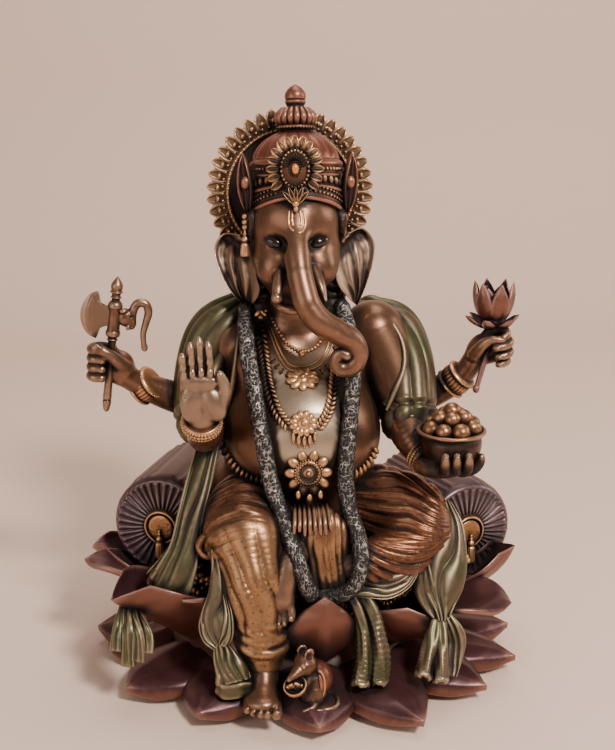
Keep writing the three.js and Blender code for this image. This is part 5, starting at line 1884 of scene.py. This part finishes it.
def necklaces(tree):
    heap = Heap()
    choker = along_line([
        (-12.6, 163.4), (-10.2, 157.7), (-6.7, 151.8), (-2.5, 148.5), (1.4, 147.3), (5, 148), (9, 151),
        (12, 156), (13, 161),
    ], 1.55)
    at, _ = lay_on(tree, choker, 0.6)
    beads(heap, at, 0.82, 0.1)
    at, _ = lay_on(tree, [(0.8, 146.4)], 1.0)
    beads(heap, at, (1.4, 1.0, 1.8), 0.8)
    for path in (
        [
            (-14.6, 165), (-11.4, 154.6), (-7.4, 145.4), (-3.8, 142), (1, 141.4), (6, 143), (10.6, 147),
            (14, 154),
        ],
        [
            (-15.6, 164), (-12.4, 153.6), (-8.6, 144.2), (-4.6, 140.2), (1, 139.6), (7, 141.4),
            (11.6, 145.4), (15, 152),
        ],
    ):
        at, _ = lay_on(tree, along_line(path, 0.8), 0.35)
        heap.add(*sweep([[*p, 0.55] for p in at[::3]], None, 10, 3), 0.4)
    drops = along_line([
        (-17.0, 160), (-15.4, 153), (-12.6, 147), (-9.0, 142.6), (-5, 139.6), (6, 139.8), (10.4, 142.4),
        (13.4, 147), (15.4, 152),
    ], 2.7)
    at, facing = lay_on(tree, drops, 0.5)
    for p, n in zip(at, facing):
        points, faces = leaf(3.0, 2.2, 1.0, 0.35, rows=9, columns=9)
        away = np.array([p[0] - 1.0, 0, p[2] - 156.0])
        heap.add(turned(points, away - n * float(away @ n), -n) + p, faces, 0.3)
    at, facing = lay_on(tree, [(0.4, 136.6)], 0.9)
    flower(heap, at[0], facing[0], 9, 2.6, 4.6, 1.0, 2.5, 0.5)
    chain = [(-17.0, 164), (-16.6, 152.5), (-15.4, 141.8), (-13.8, 132.3), (-11, 125), (-6.4, 119.6)]
    other = [(6.4, 119.6), (10, 124), (12.6, 130), (14.2, 137), (15.4, 144)]
    for path in (chain, other):
        at, facing = lay_on(tree, along_line(path, 1.65), 0.9)
        for k, (p, n) in enumerate(zip(at, facing)):
            ahead = at[min(k + 1, len(at) - 1)] - at[max(k - 1, 0)]
            ahead = ahead / max(np.linalg.norm(ahead), 1e-6)
            across = np.cross(n, ahead)
            for side in (-1, 1):
                link = egg_skin((0.8, 0.95, 1.7), 12, 8)
                laid = turned(link[0], ahead * 0.75 + across * side * 0.7, n)
                heap.add(laid + p + across * side * 1.3, link[1], 0.25)
    heap.piece("necklace_chains", GOLD, "gold_trim", ["necklace"])
    heap = Heap()
    at, facing = lay_on(tree, [(-0.4, 120.8)], 1.2)
    flower(heap, at[0], facing[0], 12, 2.7, 3.4, 1.2, 2.7, 0.8)
    spots = [(-4.6, 115.4), (-2.5, 114.2), (-0.2, 113.8), (2.1, 114.2), (4.3, 115.6)]
    at, _ = lay_on(tree, spots, 1.0)
    for p in at:
        drop = egg_skin((0.95, 0.95, 2.4), 14, 10)
        heap.add(drop[0] + p, drop[1], 0.5)
        beads(heap, [p - [0, 0, 2.6]], 0.6, 0.5)
    heap.piece("necklace_medallion", GOLD, "gold_trim")


def belt(tree):
    heap = Heap()
    right = [(-36, 108), (-33.7, 104.4), (-30.2, 99.6), (-26, 96.0), (-21, 94.0), (-14, 93.4)]
    left = [(16, 94.6), (21.9, 95.8), (25.5, 97.0), (29.7, 100), (32.6, 104)]
    for path in (right, left):
        at, facing = lay_on(tree, along_line(path, 2.1), 1.0)
        for k, (p, n) in enumerate(zip(at, facing)):
            ahead = at[min(k + 1, len(at) - 1)] - at[max(k - 1, 0)]
            bead = egg_skin((1.25, 1.6, 2.5), 14, 10)
            across = np.cross(n, ahead / np.linalg.norm(ahead))
            heap.add(turned(bead[0], across, n) + p, bead[1], 0.0)
            beads(heap, [p + across * 2.3, p - across * 2.3], 0.55, 0.2)
    heap.piece("belt_beads", GOLD, "gold_trim")
    heap = Heap()
    at = np.array([1.4, -44.6, 100.0])
    facing = np.array([0.0, -0.99, 0.14])
    flower(heap, at, facing, 10, 4.9, 5.4, 1.5, 2.9, 0.9)
    plate = spline([(0.3, 1.3), (3.4, 1.3), (4.4, 1.9), (5.4, 1.5), (5.8, 0.6), (5.9, -1.6), (0.3, -1.6)], 4)
    points, faces = lathe(plate, 60)
    heap.add(turned(points, facing, (0, 0, 1)) + at, faces, 0.8)
    for reach, count, size in ((4.4, 20, 0.66), (5.8, 30, 0.5)):
        _, ring = ring_points(reach, 1.9, count)
        beads(heap, turned(ring, facing, (0, 0, 1)) + at, size, 0.7)
    for x, z, size in ((-3.2, 91.4, 1.6), (1.6, 89.2, 2.0), (6.2, 91.2, 1.6)):
        drop = egg_skin((size * 0.7, 1.0, size * 1.4), 18, 12)
        heap.add(drop[0] + [x, -48.6, z], drop[1], 0.2)
    heap.piece("belt_clasp_flower", GOLD, "gold_trim", ["belt_clasp"])


# ---- mouse ----
def mouse():
    """A mouse that sits up at the front with a bowl, under a saddle cloth."""
    clay = Clay((-16, -92, 8), (14, -62, 42), 0.35, 4)
    clay.add(egg((1.2, -73.5, 19), (7.2, 7.6, 8.6)), egg((0.4, -77.5, 14.4), (5.6, 5.4, 5.0)), soft=3)
    clay.add(egg((-2.6, -76.4, 28.0), (4.8, 5.4, 4.6), (20, 0, 20)), soft=2)
    clay.add(limb([[-4, -79, 27.4, 3.4], [-7.6, -82, 25.8, 2.2], [-9.8, -83.6, 24.8, 1.2]]), soft=1.6)
    for x, y, z in ((-1.0, -77.6, 32.6), (-3.8, -74.6, 33.0)):
        clay.add(egg((x, y, z), (2.4, 1.0, 2.6), (0, 0, 30)), soft=0.4)
        clay.carve(egg((x - 0.2, y - 1.1, z), (1.6, 0.7, 1.8), (0, 0, 30)), soft=0.3)
    clay.add(limb([[-1, -79, 22.5, 2.0], [-4.4, -82.4, 20.6, 1.6], [-7.6, -84, 21.2, 1.2]]), soft=0.8)
    clay.add(limb([[2.6, -80, 12.4, 2.2], [-0.6, -83.4, 11.0, 1.7], [-3.4, -84.4, 10.6, 1.3]]), soft=0.8)
    clay.add(limb([
        [5.4, -72, 13.0, 1.6], [9.6, -76, 12.2, 1.2], [10.4, -81.6, 11.6, 1.0], [6.6, -84.8, 11.2, 0.8],
        [1.6, -85.4, 11.2, 0.6],
    ]), soft=0.6)
    clay.add(egg((-5.6, -79.8, 29.0), (0.9, 0.7, 0.9)), soft=0.1)
    points, faces = clay.skin()
    points = roughened(points, faces, 1.2, 17, 0.14)
    piece("mouse_body", points, faces, SKIN, "skin_bronze", ["mouse"], None, 0.22)

    clay = Clay((-4, -86, 10), (14, -64, 32), 0.35, 2)
    clay.add(egg((2.4, -74.4, 20.0), (6.8, 7.4, 7.6)))
    clay.carve(egg((-2.4, -80, 18.4), (5.4, 6, 12)), soft=0.6)
    piece("mouse_saddle_cloth", *clay.skin(), RED, "crown_red")
    heap = Heap()
    rim = [[2.0 + 3.1 * sin(a), -81.0, 20 + 7.0 * cos(a), 0.5] for a in np.linspace(0.3, 2.8, 10)]
    heap.add(*sweep(rim, None, 10, 3), 0.8)
    bowl_at = np.array([-7.4, -84.2, 22.0])
    profile = spline([
        (0.3, -3.6), (2.4, -3.4), (4.2, -1.8), (4.9, 0.4), (4.6, 0.9), (3.9, 0.4), (2.6, -1.0), (0.3, -1.4),
    ], 4)
    points, faces = lathe(profile, 40)
    heap.add(turned(points, (-0.25, -0.42, 0.87), (0, 1, 0)) + bowl_at, faces, 0.5)
    seeds = np.random.default_rng(3)
    for _ in range(26):
        a, r = seeds.uniform(0, 2 * pi), 3.2 * seeds.uniform(0, 1) ** 0.5
        spot = [r * sin(a), -0.8 - 0.35 * r * cos(a), r * cos(a) * 0.6 + 0.4]
        beads(heap, [bowl_at + spot], 0.7, 0.9)
    heap.piece("mouse_bowl_and_trim", GOLD, "gold_trim")


# ---- temples, forehead and neck ----
def temple_ornaments():
    heap = Heap()
    top = np.array([-23.0, -17.5, 205.5])
    beads(heap, [top, top - [0, 0, 2.4], top - [0, 0, 4.6]], (1.3, 1.2, 1.2), 0.7)
    tassel(heap, top - [0, 0, 5.4], 11.5, 0.7)
    heap.piece("temple_tassel", GOLD, "gold_trim")
    clay = Clay((-26, -26, 186), (26, -4, 214), 0.4)
    for side, x in ((-1, -19.6), (1, 18.0)):
        clay.add(egg((x, -13.6, 203), (2.6, 6.0, 6.4)))
        for k in range(4):
            lock = [
                [x - side, -15 - k, 209 - k, 1.1], [x + side * 1.2, -17.6, 205.6 - 2.2 * k, 1.2],
                [x, -18.6 + k, 201 - 2.4 * k, 0.7],
            ]
            clay.add(limb(lock), soft=0.4)
    points, faces = clay.skin()
    points = roughened(points, faces, 1.6, 52, 0.3)
    piece("temple_locks", points, faces, DARK, "skin_bronze", (), None, 0.35)


def brow_mark(head_tree):
    """A plain U of pale strokes, raised a little on the forehead."""
    heap = Heap()
    for path in (
        [(-5.2, 209.2), (-5.6, 206.0), (-5.2, 203.2), (-3.8, 201.6)],
        [(-3.9, 209.4), (-4.2, 206.0), (-3.9, 203.6)],
        [(-0.9, 209.4), (-0.4, 206.0), (-0.9, 203.4)],
        [(0.6, 209.0), (1.2, 206.0), (0.8, 203.0), (-0.6, 201.2), (-2.4, 200.9)],
    ):
        at, _ = lay_on(head_tree, along_line(path, 0.8), 0.1)
        heap.add(*sweep([[*p, 0.55] for p in at], None, 10, 3), 0.35)
    heap.piece("brow_mark", GOLD, "gold_trim")


def neck_dowel():
    points, faces = lathe([(0.2, 156), (1.8, 156), (2, 156.4), (2, 185.6), (1.8, 186), (0.2, 186)], 32)
    piece("neck_dowel_pin", points + [-1, -8, 0], faces, STEEL, "steel_pin", ["neck_dowel"])


place_camera()
stage_sweep()
light_stage()
tree = tree_of(torso())
head_tree = tree_of(head())
eyes(head_tree)
brow_mark(head_tree)
nape_hair()
stamens()
ear(-1, "ear_right_fan")
ear(1, "ear_left_fan")
temple_ornaments()
crown()
crown_finial()
crown_beads()
crown_medallion()
crown_horns()
halo()
neck_dowel()
arm_rear_right()
arm_rear_left()
arm_front_right()
arm_front_left()
bangles()
axe()
held_lotus()
bowl()
sweets()
leg_right()
leg_left()
apron()
shawls()
drapes()
garlands()
necklaces(tree)
belt(tree)
felt_pad()
lotus_core()
seed_pod()
lower_petals()
upper_petals()
bolster(-1)
bolster(1)
mouse()
find_wash_and_shade()
